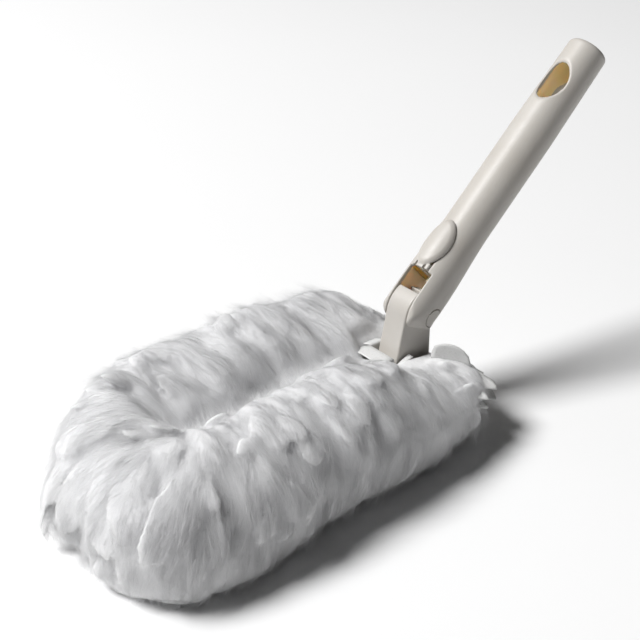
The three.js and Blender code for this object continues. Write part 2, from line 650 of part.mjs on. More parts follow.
function upperOuterSolid() {
  const whole = layer(level(UPPER_FLUFF_BASE), upperSurface(1, 0));
  const taken = layer(level(UPPER_FLUFF_BASE - CUT), upperSurface(INNER_LAYER_SHARE, FIT_GAP), CUTTER_SPREAD);
  return whole.subtract(taken).subtract(neckRoom());
}

function lowerInnerSolid() {
  return layer(lowerSurface(INNER_LAYER_SHARE, 0), level(LOWER_FLUFF));
}

function lowerOuterSolid() {
  const whole = layer(lowerSurface(1, 0), level(LOWER_FLUFF));
  const taken = layer(lowerSurface(INNER_LAYER_SHARE, FIT_GAP), level(LOWER_FLUFF + CUT), CUTTER_SPREAD);
  return whole.subtract(taken);
}

// Assembly
const grip = new THREE.Group();
grip.add(
  piece('handle_grip', gripSolid(), ivory),
  piece('pivot_pin', pinSolid(), ivory),
  piece('pin_ring', pinRingSolid(), ivory),
  piece('lock_slider', sliderSolid(), amber),
  piece('release_button', buttonSolid(), ivory),
  piece('slider_spring', springSolid(), steel),
  piece('spring_seat', seatSolid(), amber),
);
grip.position.set(PIVOT_X, 0, PIVOT_HEIGHT);
grip.rotation.y = -radians(GRIP_LIFT_DEG);

const neck = new THREE.Group();
neck.add(piece('swivel_neck', neckSolid(), ivory));
neck.position.set(PIVOT_X, 0, PIVOT_HEIGHT);

const refill = new THREE.Group();
refill.add(
  piece('upper_tow_outer', upperOuterSolid(), fluff),
  piece('upper_tow_inner', upperInnerSolid(), fluff),
  piece('upper_strip_sheet', upperStripSolid(), nonwoven),
  piece('sleeve_top_sheet', sleeveTopSolid(), nonwoven),
  piece('sleeve_bottom_sheet', sleeveBottomSolid(), nonwoven),
  piece('lower_strip_sheet', stripSheetSolid(LOWER_STRIP_BASE), nonwoven),
  piece('lower_tow_inner', lowerInnerSolid(), fluff),
  piece('lower_tow_outer', lowerOuterSolid(), fluff),
);

const duster = new THREE.Group();
duster.add(grip, neck, piece('fork', forkSolid(), ivory), refill);

export default duster;
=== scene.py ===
"""The looks of a disposable duster: an ivory moulded grip on a toothed neck, and a refill of white
fibre tow with nonwoven strips. Sizes are in millimetres and are turned into metres by MM."""

import json
import math

import bpy
import numpy as np
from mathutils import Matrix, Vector


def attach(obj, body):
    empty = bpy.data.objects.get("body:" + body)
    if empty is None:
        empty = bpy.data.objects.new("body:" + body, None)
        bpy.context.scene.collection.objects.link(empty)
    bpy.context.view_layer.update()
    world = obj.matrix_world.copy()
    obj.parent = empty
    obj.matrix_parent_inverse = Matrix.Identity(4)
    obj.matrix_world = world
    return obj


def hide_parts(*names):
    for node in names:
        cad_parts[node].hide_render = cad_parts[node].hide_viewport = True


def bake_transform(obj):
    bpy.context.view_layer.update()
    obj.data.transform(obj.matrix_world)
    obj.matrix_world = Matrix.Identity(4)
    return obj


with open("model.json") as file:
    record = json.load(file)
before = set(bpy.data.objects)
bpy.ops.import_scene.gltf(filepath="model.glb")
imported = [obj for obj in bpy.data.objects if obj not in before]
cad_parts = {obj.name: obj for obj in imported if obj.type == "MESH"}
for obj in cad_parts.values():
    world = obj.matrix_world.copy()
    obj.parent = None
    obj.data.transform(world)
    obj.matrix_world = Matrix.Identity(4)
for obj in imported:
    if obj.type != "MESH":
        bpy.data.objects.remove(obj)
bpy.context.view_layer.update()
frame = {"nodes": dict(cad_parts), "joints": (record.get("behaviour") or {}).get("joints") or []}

MM = 0.001
JOINTS = {joint["name"]: joint for joint in frame["joints"]}
PIVOT = np.array(JOINTS["handle_tilt"]["pos_m"]) / MM
GRIP_ALONG = np.array(JOINTS["lock_slide"]["axis"])
GRIP_ACROSS = np.array(JOINTS["handle_tilt"]["axis"])
GRIP_UP = np.cross(GRIP_ALONG, GRIP_ACROSS)
GRIP_FRAME = np.array([GRIP_ALONG, GRIP_ACROSS, GRIP_UP])

# Camera, placed from the pivot
CAMERA_FROM_PIVOT = (-348.0, -362.7, 266.1)
VIEW_DIRECTION = (0.548, 0.687, -0.477)
CAMERA_LENS = 67.5
CAMERA_SENSOR = 36.0

# Studio
FLOOR_HALF = 1800.0
ROOM_LIGHT = 0.025
BACKDROP_SHADE = 0.75
KEY_LIGHT = ((-0.55, 0.32, 0.82), 4.6, 1.9, 272.0)  # direction, distance, size, power
OVERHEAD_LIGHT = ((-0.2, 0.8, 1.0), 3.2, 2.4, 8.0)

# Grip, measured along its axis from the pivot
GRIP_REACH = 149.6
AXIS_OFFSET = 4.1
GRIP_DIAMETER = 22.0
GRIP_END_DIAMETER = 20.0
CHEEK_DIAMETER = 24.4
CHEEK_SQUARENESS = 2.2
FLARE_START = 8.0
FLARE_LENGTH = 40.0
END_TAPER = 50.0
END_EDGE = 2.0
GRIP_WALL = 2.0
YOKE_HALF = 7.1
YOKE_END = 15.3
CHEEK_NOSE = 11.0
CHEEK_NOSE_RISE = 8.7
CHEEK_BEND = 5.0
CHEEK_BEND_SLOPE = 0.6
CHEEK_HEEL = 4.4
CHEEK_HEEL_DROP = 5.5
CHEEK_EDGE = 1.2
NOSE_NARROWING = 5.0
SLOT_HALF = 5.0
SLOT_START = 13.3
SLOT_END = 32.1
HANG_HOLE = (10.0, 6.5)  # half length, half width
HANG_HOLE_PLACE = 125.0
HANG_HOLE_EDGE = 1.5
# Faces deeper than this inside the grip take the painted amber glow
GLOW_PAINT_DEPTH = 1.85

# Pivot pin
PIN_RADIUS = 3.0
PIN_HEAD_RADIUS = 4.5
PIN_SEAT = 8.3
PIN_GAP = 0.3
PIN_FLUSH = 0.15

# Button
BUTTON_MIDDLE = 29.6
BUTTON_HALF = (13.25, 7.5)  # half length, half width
BUTTON_SLANT = 0.45
BUTTON_EDGE_HEIGHT = 1.7
BUTTON_CROWN = 1.0
BUTTON_EDGE = 0.8
BUTTON_GAP = 0.4
BUTTON_TABS = ((3.1, 4.7), (15.9, 19.0), 4.0)  # span across, span along, depth
STEM_START = 15.6
STEM_HALF = 2.0
STEM_BASE = 3.5

# Neck, measured from the pivot
NECK_HALF = 6.7
NECK_BACK = 3.0
NECK_FOOT = -23.0
NECK_LEAN = math.radians(12)
STRIP_RADIUS = 13.8
STRIP_TOP = math.radians(113)
HUB_RADIUS = 7.0
RATCHET_RADIUS = 9.5
RATCHET_START = math.radians(-12.85)
NOTCH_DEPTH = 2.5
NOTCH_WIDTH = 2.2
NOTCH_COUNT = 5
NOTCH_PITCH = math.radians(22.5)
TONGUE = ((-14.0, -4.0), -25.9)  # span along, bottom
NECK_EDGE = 0.9

# Refill: two rolls of tow joined round the front end, the near one broader
ROLL_RADIUS = 22.0
ROLL_HEIGHT = 24.0
ROLL_RISE = 1.1
ROLL_SINK = 1.3
ROLL_SPREAD = 34.0
ROLL_MIDDLE = 8.0
FAR_BREADTHS = (0.91, 1.45)  # outer half, inner half
NEAR_BREADTHS = (1.45, 1.32)
ROLL_REAR = 80.0
FAR_FALL = (54.0, 97.0, 0.15)  # where the top starts to slope, where it ends, share of its height left
NEAR_FALL = (18.0, 80.0, 0.28)
BEND_CENTRE = -46.0
BEND_SQUARENESS = (3.2, 1.6)  # near corner, far corner
BEND_CHANGE = 0.4
UNDERSIDE_SQUARENESS = (2.2, 3.6, 28.0)  # along the rolls, at the near front corner, reach of that corner
SQUARE_CORNER = 8.0
HEAD_HALF_LENGTH = 105.0
REAR_END_SHARE = 0.36
TIP_SWAY = 10.5
UPPER_BASE = 26.8
LOWER_TOP = 20.0
VALLEY_FLOOR = 29.0
VALLEY_EDGE = 5.0
SLAB_FRONT = 20.0
SLAB_REAR = 8.0
REAR_STEEPNESS = 1.1
FOOT_EDGE = 2.0
TOW_EDGE = 1.0
FLOOR_GAP = 0.6
SKIRT_HEIGHT = 4.2
SKIRT_WAVE = 1.1
SKIRT_SPAN = (7.0, 16.0)
SEAM_GAP = 0.4
MOUTH_EDGE = (26.0, 32.0)  # from the open mouths of the sleeves to the closed sides
CHANNEL_FRONT = 60.0
CHANNEL_HALF = 14.6
CHANNEL_FOOT = (8.8, 30.0, 35.0)  # half width at the sheet, heights between which it widens
CHANNEL_EDGE = 5.0
TOW_BOX = ((-112, -75, 0), (112, 75, 60))
TOW_CORE_STEP = 2.0
TOW_VOXEL = 0.95
TOW_SOFTENING = (0.5, 7)  # factor, rounds
WAVE_LENGTHS = (9.0, 23.0)
RIPPLE_LENGTHS = (3.1, 31.0)
BAND_LENGTH = 17.0
LUMP_HEIGHTS = (1.2, 0.9, 0.9)  # waves, bands, ripples

# Nonwoven sheets of the refill
SHEET_SPAN = (-75.0, 95.0)
STRIP_PITCH = 10.0
STRIP_SLIT = 1.2
STRIP_INSETS = (8.0, -0.5)  # hidden strips, strips shown at the rear end
STRIP_SHOWN = (68.0, 80.0)
STRIP_ROOT = 36.0
STRIP_TAPER = (0.55, 0.45, 0.9, 1.4)  # start and run as shares of the length, depth, power
STRIP_FAN = 5.0
STRIP_BEND = (-2.5, 1.5)
HEAD_HALF_WIDTHS = (22.0, 62.0)  # at the ends, in the middle
PANEL_ROWS = (-36.0, -30.0, -24.0, -18.0, -13.0, -8.2, -4.0, 0.0, 4.0, 8.2, 13.0, 18.0, 24.0, 30.0, 36.0)
NECK_SLOT = (65.0, 8.2)  # front, half width
FLAP_HEIGHT = 6.4
FLAP_STAND = (0.45, 0.8)  # share of the length that stands, roundness
FLAP_FOLD = (0.4, 1.0)
FRONT_FLAP = (8.0, 2.5, 3.5)  # reach, flare, shift
SIDE_FLAP = (9.0, 2.0, 5.5, 0.8)  # length, slant, reach, droop
SHEET_TONGUE = (9.5, 3.0, 0.4, 5.2)  # length, width, turn, lift
LEAF_START = (82.0, -14.8)
LEAF_RUN = (11.0, 15.0)
LEAF_HEIGHT = 13.0
LEAF_CURL = (1.6, 2.4)  # depth, turn
LEAF_LEAN = 2.0
UPPER_SHEET_HEIGHT = 26.2
LOWER_SHEET_HEIGHT = 20.6
SHEET_THICKNESS = 0.45
SLEEVE_SPAN = (-75.0, 60.0)
SLEEVE_HALF = 36.0
SLEEVE_BOTTOM = 21.5
SLEEVE_SEAM = 22.4
SLEEVE_ROOF = 25.3
SLEEVE_MIDDLE = 19.0
SLEEVE_ROOM = 8.0
SLEEVE_SLOPE = 3.0

# Spring
SPRING_SPAN = (41.05, 55.55)
SPRING_RADIUS = 3.05
SPRING_WIRE = 0.9
SPRING_TURNS = 7
SPRING_STEPS = 24

# Rounding of small edges, and the grids that the surfaces are carved on
SOFT_EDGE = 0.5
SMALL_EDGE = 0.3
FINE_EDGE = 0.2
SURFACE_STEP = 0.55
NECK_STEP = 0.45
BUTTON_STEP = 0.35
PIN_STEP = 0.3
RING_STEP = 0.25
SMALL = 1e-6  # keeps a division from zero
NEWTON_STEPS = 3
SEED = 11


def colour(code):
    """A linear colour from a six-digit display code."""
    shares = [int(code[k:k + 2], 16) / 255 for k in (0, 2, 4)]
    linear = [c / 12.92 if c <= 0.04045 else ((c + 0.055) / 1.055) ** 2.4 for c in shares]
    return (*linear, 1.0)


def lerp(a, b, share):
    return a + (b - a) * share


def smooth_step(value, start, end):
    share = np.clip((value - start) / (end - start), 0, 1)
    return share * share * (3 - 2 * share)


# Fields: negative inside, in millimetres. Edges are rounded where two fields meet.
def both(a, b, edge=0.0):
    corner = np.hypot(np.maximum(a + edge, 0), np.maximum(b + edge, 0))
    return np.minimum(np.maximum(a, b), -edge) + corner


def either(a, b, edge=0.0):
    return -both(-a, -b, edge)


def without(a, b, edge=0.0):
    return both(a, -b, edge)


def level_surface(field, low, high, step):
    """Points and outward quads of a field's zero level, one point for each crossed grid cell."""
    axes = [np.arange(a - step, b + 2 * step, step) for a, b in zip(low, high)]
    grid = np.stack(np.meshgrid(*axes, indexing="ij"), axis=-1)
    value = field(grid)
    cells = tuple(n - 1 for n in value.shape)
    total = np.zeros((*cells, 3))
    hits = np.zeros(cells)
    crossings = []
    for axis in range(3):
        order = (axis, (axis + 1) % 3, (axis + 2) % 3)
        near = value.transpose(order)[:-1]
        far = value.transpose(order)[1:]
        crossed = (near < 0) != (far < 0)
        share = np.where(crossed, near / np.where(crossed, near - far, 1), 0)
        point = grid.transpose((*order, 3))[:-1].copy()
        point[..., axis] += share * step
        rows, columns = crossed.shape[1] - 1, crossed.shape[2] - 1
        for j in (0, 1):
            for k in (0, 1):
                part = np.s_[:, j:rows + j, k:columns + k]
                total.transpose((*order, 3))[...] += point[part] * crossed[part][..., None]
                hits.transpose(order)[...] += crossed[part]
        crossings.append((order, crossed[:, 1:-1, 1:-1], near[:, 1:-1, 1:-1] < 0))
    used = hits > 0
    index = np.full(cells, -1)
    index[used] = np.arange(used.sum())
    points = total[used] / hits[used][:, None]
    quads = []
    for order, crossed, outwards in crossings:
        cell = index.transpose(order)
        ring = [cell[:, :-1, :-1], cell[:, 1:, :-1], cell[:, 1:, 1:], cell[:, :-1, 1:]]
        found = np.stack([corner[crossed] for corner in ring], axis=1)
        quads.append(np.where(outwards[crossed][:, None], found, found[:, ::-1]))
    return onto_level(field, points, step), np.concatenate(quads)


def gradient(field, points, reach):
    sides = np.eye(3) * reach
    return np.stack([field(points + d) - field(points - d) for d in sides], axis=-1) / (2 * reach)


def onto_level(field, points, step):
    """Moves points along the gradient onto the zero level."""
    for _ in range(NEWTON_STEPS):
        slope = gradient(field, points, step / 5)
        share = field(points) / np.maximum((slope ** 2).sum(-1), 0.05)
        points = points - slope * np.clip(share, -step, step)[:, None]
    return points


def new_piece(name, points, faces, materials):
    """An object from points in millimetres, smooth shaded."""
    mesh = bpy.data.meshes.new(name)
    listed = faces if isinstance(faces, list) else faces.tolist()
    mesh.from_pydata((np.asarray(points) * MM).tolist(), [], listed)
    mesh.polygons.foreach_set("use_smooth", [True] * len(mesh.polygons))
    for material in materials:
        mesh.materials.append(material)
    piece = bpy.data.objects.new(name, mesh)
    bpy.context.scene.collection.objects.link(piece)
    return piece


def finished(piece):
    """Turns a piece and its modifiers into a plain mesh."""
    graph = bpy.context.evaluated_depsgraph_get()
    made = bpy.data.meshes.new_from_object(
        piece.evaluated_get(graph), preserve_all_data_layers=True, depsgraph=graph)
    piece.modifiers.clear()
    piece.data = made
    made.name = piece.name
    return piece


def settle(piece, body, slot, *nodes):
    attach(piece, body)
    if nodes:
        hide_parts(*nodes)
    return piece


# Node trees
def add_node(tree, kind, inputs=None, **settings):
    """A node with its settings, and with its inputs set or linked by name or number."""
    node = tree.nodes.new(kind)
    for name, value in settings.items():
        setattr(node, name, value)
    for name, value in (inputs or {}).items():
        if isinstance(value, bpy.types.NodeSocket):
            tree.links.new(value, node.inputs[name])
        else:
            node.inputs[name].default_value = value
    return node


def math_node(tree, operation, *values):
    return add_node(tree, "ShaderNodeMath", dict(enumerate(values)), operation=operation).outputs[0]


def vector_node(tree, operation, *values):
    inputs = dict(enumerate(values))
    return add_node(tree, "ShaderNodeVectorMath", inputs, operation=operation).outputs[0]


def scaled(tree, vector, scale):
    inputs = {"Vector": vector, "Scale": scale}
    return add_node(tree, "ShaderNodeVectorMath", inputs, operation="SCALE").outputs[0]


def shader_group(name, inputs, outputs):
    """A shader node group with its named sockets, its input's sockets and its output node."""
    group = bpy.data.node_groups.new(name, "ShaderNodeTree")
    for socket, kind, value in inputs:
        made = group.interface.new_socket(socket, in_out="INPUT", socket_type=kind)
        if value is not None:
            made.default_value = value
    for socket, kind in outputs:
        group.interface.new_socket(socket, in_out="OUTPUT", socket_type=kind)
    given = group.nodes.new("NodeGroupInput").outputs
    result = group.nodes.new("NodeGroupOutput").inputs
    return group, given, result


def moulded_grain_group():
    """Broad tint patches and the fine grain of a moulded surface."""
    group, given, result = shader_group(
        "moulded_grain",
        [("Vector", "NodeSocketVector", None), ("Patch size", "NodeSocketFloat", 0.03),
         ("Grain size", "NodeSocketFloat", 0.0008)],
        [("Patches", "NodeSocketFloat"), ("Grain", "NodeSocketFloat")])
    for size, output, detail in (("Patch size", "Patches", 3.0), ("Grain size", "Grain", 5.0)):
        scale = math_node(group, "DIVIDE", 1.0, given[size])
        noise = add_node(group, "ShaderNodeTexNoise",
                         {"Vector": given["Vector"], "Scale": scale, "Detail": detail})
        group.links.new(noise.outputs["Fac"], result[output])
    return group


def strand_group():
    """Fine streaks that run along the second coordinate, in two widths."""
    group, given, result = shader_group(
        "strand_streaks",
        [("Vector", "NodeSocketVector", None), ("Fine", "NodeSocketFloat", 14.0),
         ("Broad", "NodeSocketFloat", 2.2), ("Stretch", "NodeSocketFloat", 9.0)],
        [("Fine streaks", "NodeSocketFloat"), ("Broad streaks", "NodeSocketFloat")])
    for size, output in (("Fine", "Fine streaks"), ("Broad", "Broad streaks")):
        along = math_node(group, "DIVIDE", given[size], given["Stretch"])
        ratio = add_node(group, "ShaderNodeCombineXYZ", {"X": given[size], "Y": along, "Z": given[size]})
        place = vector_node(group, "MULTIPLY", given["Vector"], ratio.outputs[0])
        noise = add_node(group, "ShaderNodeTexNoise",
                         {"Vector": place, "Scale": 1.0, "Detail": 4.0, "Distortion": 0.4})
        group.links.new(noise.outputs["Fac"], result[output])
    return group


def new_material(name, **values):
    """A material with its Principled shader's plain values set."""
    material = bpy.data.materials.new(name)
    material.use_nodes = True
    shader = material.node_tree.nodes["Principled BSDF"]
    for socket, value in values.items():
        shader.inputs[socket.replace("_", " ")].default_value = value
    return material, material.node_tree, shader


def ramp(tree, value, start, end, low, high):
    inputs = {0: value, 1: start, 2: end, 3: low, 4: high}
    return add_node(tree, "ShaderNodeMapRange", inputs).outputs[0]


def tint(tree, share, first, second):
    inputs = {0: share, 6: first, 7: second}
    return add_node(tree, "ShaderNodeMix", inputs, data_type="RGBA").outputs[2]


def bump(tree, shader, height, strength, distance):
    inputs = {"Height": height, "Strength": strength, "Distance": distance}
    tree.links.new(add_node(tree, "ShaderNodeBump", inputs).outputs[0], shader.inputs["Normal"])


def plastic(name, light, dark, grain_group, roughness, subsurface, spread=(1.0, 0.85, 0.7)):
    material, tree, shader = new_material(
        name, Subsurface_Weight=subsurface, Subsurface_Scale=0.004, Subsurface_Radius=spread)
    coordinates = add_node(tree, "ShaderNodeTexCoord").outputs["Object"]
    grain = add_node(tree, "ShaderNodeGroup", node_tree=grain_group)
    tree.links.new(coordinates, grain.inputs["Vector"])
    share = ramp(tree, grain.outputs["Patches"], 0.35, 0.65, 0.0, 1.0)
    tree.links.new(tint(tree, share, colour(light), colour(dark)), shader.inputs["Base Color"])
    rough = ramp(tree, grain.outputs["Grain"], 0.3, 0.7, roughness - 0.06, roughness + 0.06)
    tree.links.new(rough, shader.inputs["Roughness"])
    bump(tree, shader, grain.outputs["Grain"], 0.12, 0.0001)
    return material


def spring_steel(grain_group):
    material, tree, shader = new_material("drawn_spring_steel", Metallic=1.0)
    coordinates = add_node(tree, "ShaderNodeTexCoord").outputs["Object"]
    grain = add_node(tree, "ShaderNodeGroup", {"Grain size": 0.0003}, node_tree=grain_group)
    tree.links.new(coordinates, grain.inputs["Vector"])
    share = ramp(tree, grain.outputs["Patches"], 0.3, 0.7, 0.0, 1.0)
    tree.links.new(tint(tree, share, colour("b9bdc2"), colour("a2a6aa")), shader.inputs["Base Color"])
    rough = ramp(tree, grain.outputs["Grain"], 0.3, 0.7, 0.22, 0.38)
    tree.links.new(rough, shader.inputs["Roughness"])
    return material


def tow(name, map_name, strands, light, dark, fineness, depth):
    """White tow: faint streaks of colour along the fibres of the named map, and a fluffy relief."""
    material, tree, shader = new_material(
        name, Roughness=0.9, Subsurface_Weight=1.0, Subsurface_Scale=0.011, Subsurface_Radius=(1, 1, 1),
        Specular_IOR_Level=0.1, Sheen_Weight=0.1, Sheen_Roughness=0.6)
    uv = add_node(tree, "ShaderNodeUVMap", uv_map=map_name).outputs[0]
    streaks = add_node(tree, "ShaderNodeGroup", {"Fine": fineness}, node_tree=strands)
    tree.links.new(uv, streaks.inputs["Vector"])
    mixed = math_node(tree, "ADD", streaks.outputs["Fine streaks"], streaks.outputs["Broad streaks"])
    share = ramp(tree, mixed, 0.75, 1.25, 0.0, 1.0)
    tree.links.new(tint(tree, share, colour(dark), colour(light)), shader.inputs["Base Color"])
    if depth:
        coordinates = add_node(tree, "ShaderNodeTexCoord").outputs["Object"]
        sizes = {"Patch size": 0.009, "Grain size": 0.0028}
        fluff = add_node(tree, "ShaderNodeGroup", sizes, node_tree=GRAIN)
        tree.links.new(coordinates, fluff.inputs["Vector"])
        height = math_node(tree, "MULTIPLY_ADD", fluff.outputs["Patches"], 2.0, fluff.outputs["Grain"])
        height = math_node(tree, "MULTIPLY_ADD", mixed, 0.3, height)
        bump(tree, shader, height, 0.7, depth)
    return material


def nonwoven(grain_group):
    """Thin white nonwoven: a fine mat of fibres with small pressed spots."""
    material, tree, shader = new_material(
        "white_nonwoven", Roughness=0.75, Subsurface_Weight=0.3, Subsurface_Scale=0.003,
        Subsurface_Radius=(1, 1, 1), Specular_IOR_Level=0.3)
    coordinates = add_node(tree, "ShaderNodeTexCoord").outputs["Object"]
    grain = add_node(tree, "ShaderNodeGroup", {"Patch size": 0.006, "Grain size": 0.0005},
                     node_tree=grain_group)
    tree.links.new(coordinates, grain.inputs["Vector"])
    spots = add_node(tree, "ShaderNodeTexVoronoi", {"Vector": coordinates, "Scale": 700.0})
    spot = ramp(tree, spots.outputs["Distance"], 0.1, 0.35, 0.0, 1.0)
    mat = math_node(tree, "MULTIPLY", spot, grain.outputs["Grain"])
    tree.links.new(tint(tree, mat, colour("d0d0ce"), colour("e2e2e1")), shader.inputs["Base Color"])
    bump(tree, shader, mat, 0.3, 0.0002)
    return material


GRAIN = moulded_grain_group()
STRANDS = strand_group()
IVORY = plastic("ivory_moulded_plastic", "c5c1bb", "beb9b2", GRAIN, 0.44, 0.08)
# Painted glow: this amber colour stands in for warm light shining through the ivory wall and for the warm
# shade inside the grip; the plastic itself is ivory.
AMBER_PAINTED_GLOW = plastic("inner_plastic_painted_amber_glow", "f5e7cb", "ecd8b2", GRAIN, 0.5, 0.9, (1.0, 0.78, 0.55))
STEEL = spring_steel(GRAIN)
TOW = tow("white_fibre_tow", "strand", STRANDS, "e8e8e9", "e0e0e1", 14.0, 0.0007)
FIBRE = tow("white_tow_fibre", "fibre", STRANDS, "f3f3f4", "e9e9ea", 6.0, 0.0)
NONWOVEN = nonwoven(GRAIN)


# Camera, floor and lights
def make_camera():
    data = bpy.data.cameras.new("photo_view")
    data.lens = CAMERA_LENS
    data.sensor_width = CAMERA_SENSOR
    data.clip_start = 0.01
    camera = bpy.data.objects.new("photo_view", data)
    bpy.context.scene.collection.objects.link(camera)
    camera.location = Vector((PIVOT + CAMERA_FROM_PIVOT) * MM)
    camera.rotation_euler = Vector(VIEW_DIRECTION).to_track_quat("-Z", "Y").to_euler()
    bpy.context.scene.camera = camera


def make_floor():
    material, tree, shader = new_material("pale_floor", Roughness=0.9)
    coordinates = add_node(tree, "ShaderNodeTexCoord").outputs["Object"]
    grain = add_node(tree, "ShaderNodeGroup", {"Patch size": 0.5}, node_tree=GRAIN)
    tree.links.new(coordinates, grain.inputs["Vector"])
    pale = tint(tree, grain.outputs["Patches"], colour("f6f6f6"), colour("fbfbfb"))
    tree.links.new(pale, shader.inputs["Base Color"])
    half = FLOOR_HALF
    corners = [(-half, -half, 0), (half, -half, 0), (half, half, 0), (-half, half, 0)]
    new_piece("floor", corners, [(0, 1, 2, 3)], [material])


def make_light(name, direction, distance, size, power):
    data = bpy.data.lights.new(name, "AREA")
    data.shape = "DISK"
    data.size = size
    data.energy = power
    light = bpy.data.objects.new(name, data)
    bpy.context.scene.collection.objects.link(light)
    away = Vector(direction).normalized()
    light.location = away * distance
    light.rotation_euler = (-away).to_track_quat("-Z", "Y").to_euler()


def make_backdrop():
    """A pale backdrop beyond the floor, which lights the object only a little."""
    world = bpy.data.worlds.new("studio")
    world.use_nodes = True
    tree = world.node_tree
    seen = add_node(tree, "ShaderNodeLightPath").outputs["Is Camera Ray"]
    strength = ramp(tree, seen, 0.0, 1.0, ROOM_LIGHT, BACKDROP_SHADE)
    background = tree.nodes["Background"]
    background.inputs["Color"].default_value = (1, 1, 1, 1)
    tree.links.new(strength, background.inputs["Strength"])
    bpy.context.scene.world = world


def make_studio():
    make_camera()
    make_floor()
    make_light("key", *KEY_LIGHT)
    make_light("overhead", *OVERHEAD_LIGHT)
    make_backdrop()
    bpy.context.scene.view_settings.view_transform = "Standard"


# Plastic pieces, drawn about the pivot along the grip
def parts(points):
    return points[..., 0], points[..., 1], points[..., 2]


def flare(s):
    return smooth_step(s, FLARE_START, FLARE_START + FLARE_LENGTH)


def grip_radius(s):
    taper = np.clip((s - GRIP_REACH + END_TAPER) / END_TAPER, 0, 1)
    return (lerp(CHEEK_DIAMETER, GRIP_DIAMETER, flare(s)) - taper * (GRIP_DIAMETER - GRIP_END_DIAMETER)) / 2


def grip_section(points, inset):
    s, y, b = parts(points)
    power = lerp(CHEEK_SQUARENESS, 2.0, flare(s))
    reach = (np.abs(y) ** power + np.abs(b - AXIS_OFFSET) ** power) ** (1 / power)
    return reach - grip_radius(s) + inset


def cheek_side(s, b):
    """The cheeks from the side: a round nose over the pivot and a slanted heel under it."""
    bend_height = AXIS_OFFSET + CHEEK_DIAMETER / 2 - GRIP_WALL / 2
    run = CHEEK_NOSE + CHEEK_BEND
    fall = bend_height - CHEEK_NOSE_RISE
    radius = (run * run + fall * fall) / (2 * fall)
    arc = np.hypot(s - CHEEK_BEND, b - bend_height + radius) - radius
    beyond = b - bend_height - CHEEK_BEND_SLOPE * (s - CHEEK_BEND)
    nose = np.where(s < CHEEK_BEND, arc, beyond)
    rise = CHEEK_NOSE_RISE + CHEEK_HEEL_DROP
    run = CHEEK_NOSE - CHEEK_HEEL
    heel = -((s + CHEEK_HEEL) * rise + (b + CHEEK_HEEL_DROP) * run) / math.hypot(rise, run)
    return both(nose, heel, 2 * CHEEK_EDGE)


def grip_outside(points):
    s, y, b = parts(points)
    body = both(grip_section(points, 0), s - GRIP_REACH, END_EDGE)
    body = both(body, cheek_side(s, b), CHEEK_EDGE)
    narrow = CHEEK_DIAMETER / 2 - NOSE_NARROWING * (np.minimum(s, 0) / CHEEK_NOSE) ** 2
    return both(body, np.abs(y) - np.where(s < 0, narrow, CHEEK_DIAMETER), CHEEK_EDGE)


def grip_field(points):
    s, y, b = parts(points)
    width = np.abs(y)
    around_pin = np.hypot(s, b)
    yoke = np.maximum(width - YOKE_HALF, s - YOKE_END)
    bore_ends = np.maximum(s - GRIP_REACH + GRIP_WALL, YOKE_END - s)
    bore = np.maximum(grip_section(points, GRIP_WALL), bore_ends)
    slot_ends = np.maximum(s - SLOT_END, SLOT_START - s)
    slot = np.maximum(np.maximum(width - SLOT_HALF, AXIS_OFFSET - b), slot_ends)
    half_length, half_width = HANG_HOLE
    hole = (np.hypot((s - HANG_HOLE_PLACE) / half_length, y / half_width) - 1) * half_width
    recess = np.maximum(around_pin - PIN_HEAD_RADIUS - PIN_GAP, PIN_SEAT - width)
    body = grip_outside(points)
    cuts = ((yoke, SOFT_EDGE), (bore, SMALL_EDGE), (slot, SOFT_EDGE), (hole, HANG_HOLE_EDGE),
            (around_pin - PIN_RADIUS - PIN_GAP, FINE_EDGE), (recess, SMALL_EDGE))
    for cut, edge in cuts:
        body = without(body, cut, edge)
    return body


def pin_field(points):
    s, y, b = parts(points)
    around = np.hypot(s, b)
    seat = PIN_SEAT + PIN_GAP
    shaft = np.maximum(around - PIN_RADIUS, -y - seat)
    head = np.maximum(around - PIN_HEAD_RADIUS, y + seat)
    return both(np.minimum(shaft, head), grip_outside(points) + PIN_FLUSH, SMALL_EDGE)


def ring_field(points):
    s, y, b = parts(points)
    around = np.hypot(s, b)
    middle = (PIN_HEAD_RADIUS + PIN_RADIUS + PIN_GAP) / 2
    half = (PIN_HEAD_RADIUS - PIN_RADIUS - PIN_GAP) / 2
    ring = np.maximum(np.abs(around - middle) - half, PIN_SEAT + PIN_GAP - y)
    return both(ring, grip_outside(points) + PIN_FLUSH, SMALL_EDGE)


def button_field(points):
    s, y, b = parts(points)
    above = grip_section(points, 0)
    half_length, half_width = BUTTON_HALF
    share = np.hypot((s - BUTTON_MIDDLE) / half_length, y / half_width)
    wall = (share - 1) * half_width + BUTTON_SLANT * above
    top = above - BUTTON_EDGE_HEIGHT - BUTTON_CROWN * (1 - np.minimum(share, 1) ** 2)
    under = np.maximum(BUTTON_GAP - above, AXIS_OFFSET - b)
    pad = both(both(wall, top, BUTTON_EDGE), under, FINE_EDGE)
    stem = np.maximum(np.abs(y) - STEM_HALF, np.maximum(STEM_START - s, s - BUTTON_MIDDLE))
    stem = np.maximum(stem, np.maximum(STEM_BASE - b, above - BUTTON_EDGE_HEIGHT / 2))
    (inner, outer), (start, end), depth = BUTTON_TABS
    beside = np.abs(np.abs(y) - (inner + outer) / 2) - (outer - inner) / 2
    tabs = np.maximum(beside, np.maximum(start - s, s - end))
    tabs = np.maximum(tabs, np.maximum(-depth - above, above - BUTTON_EDGE_HEIGHT / 2))
    tabs = np.maximum(tabs, AXIS_OFFSET - b)
    return either(either(pad, stem, SMALL_EDGE), tabs, FINE_EDGE)


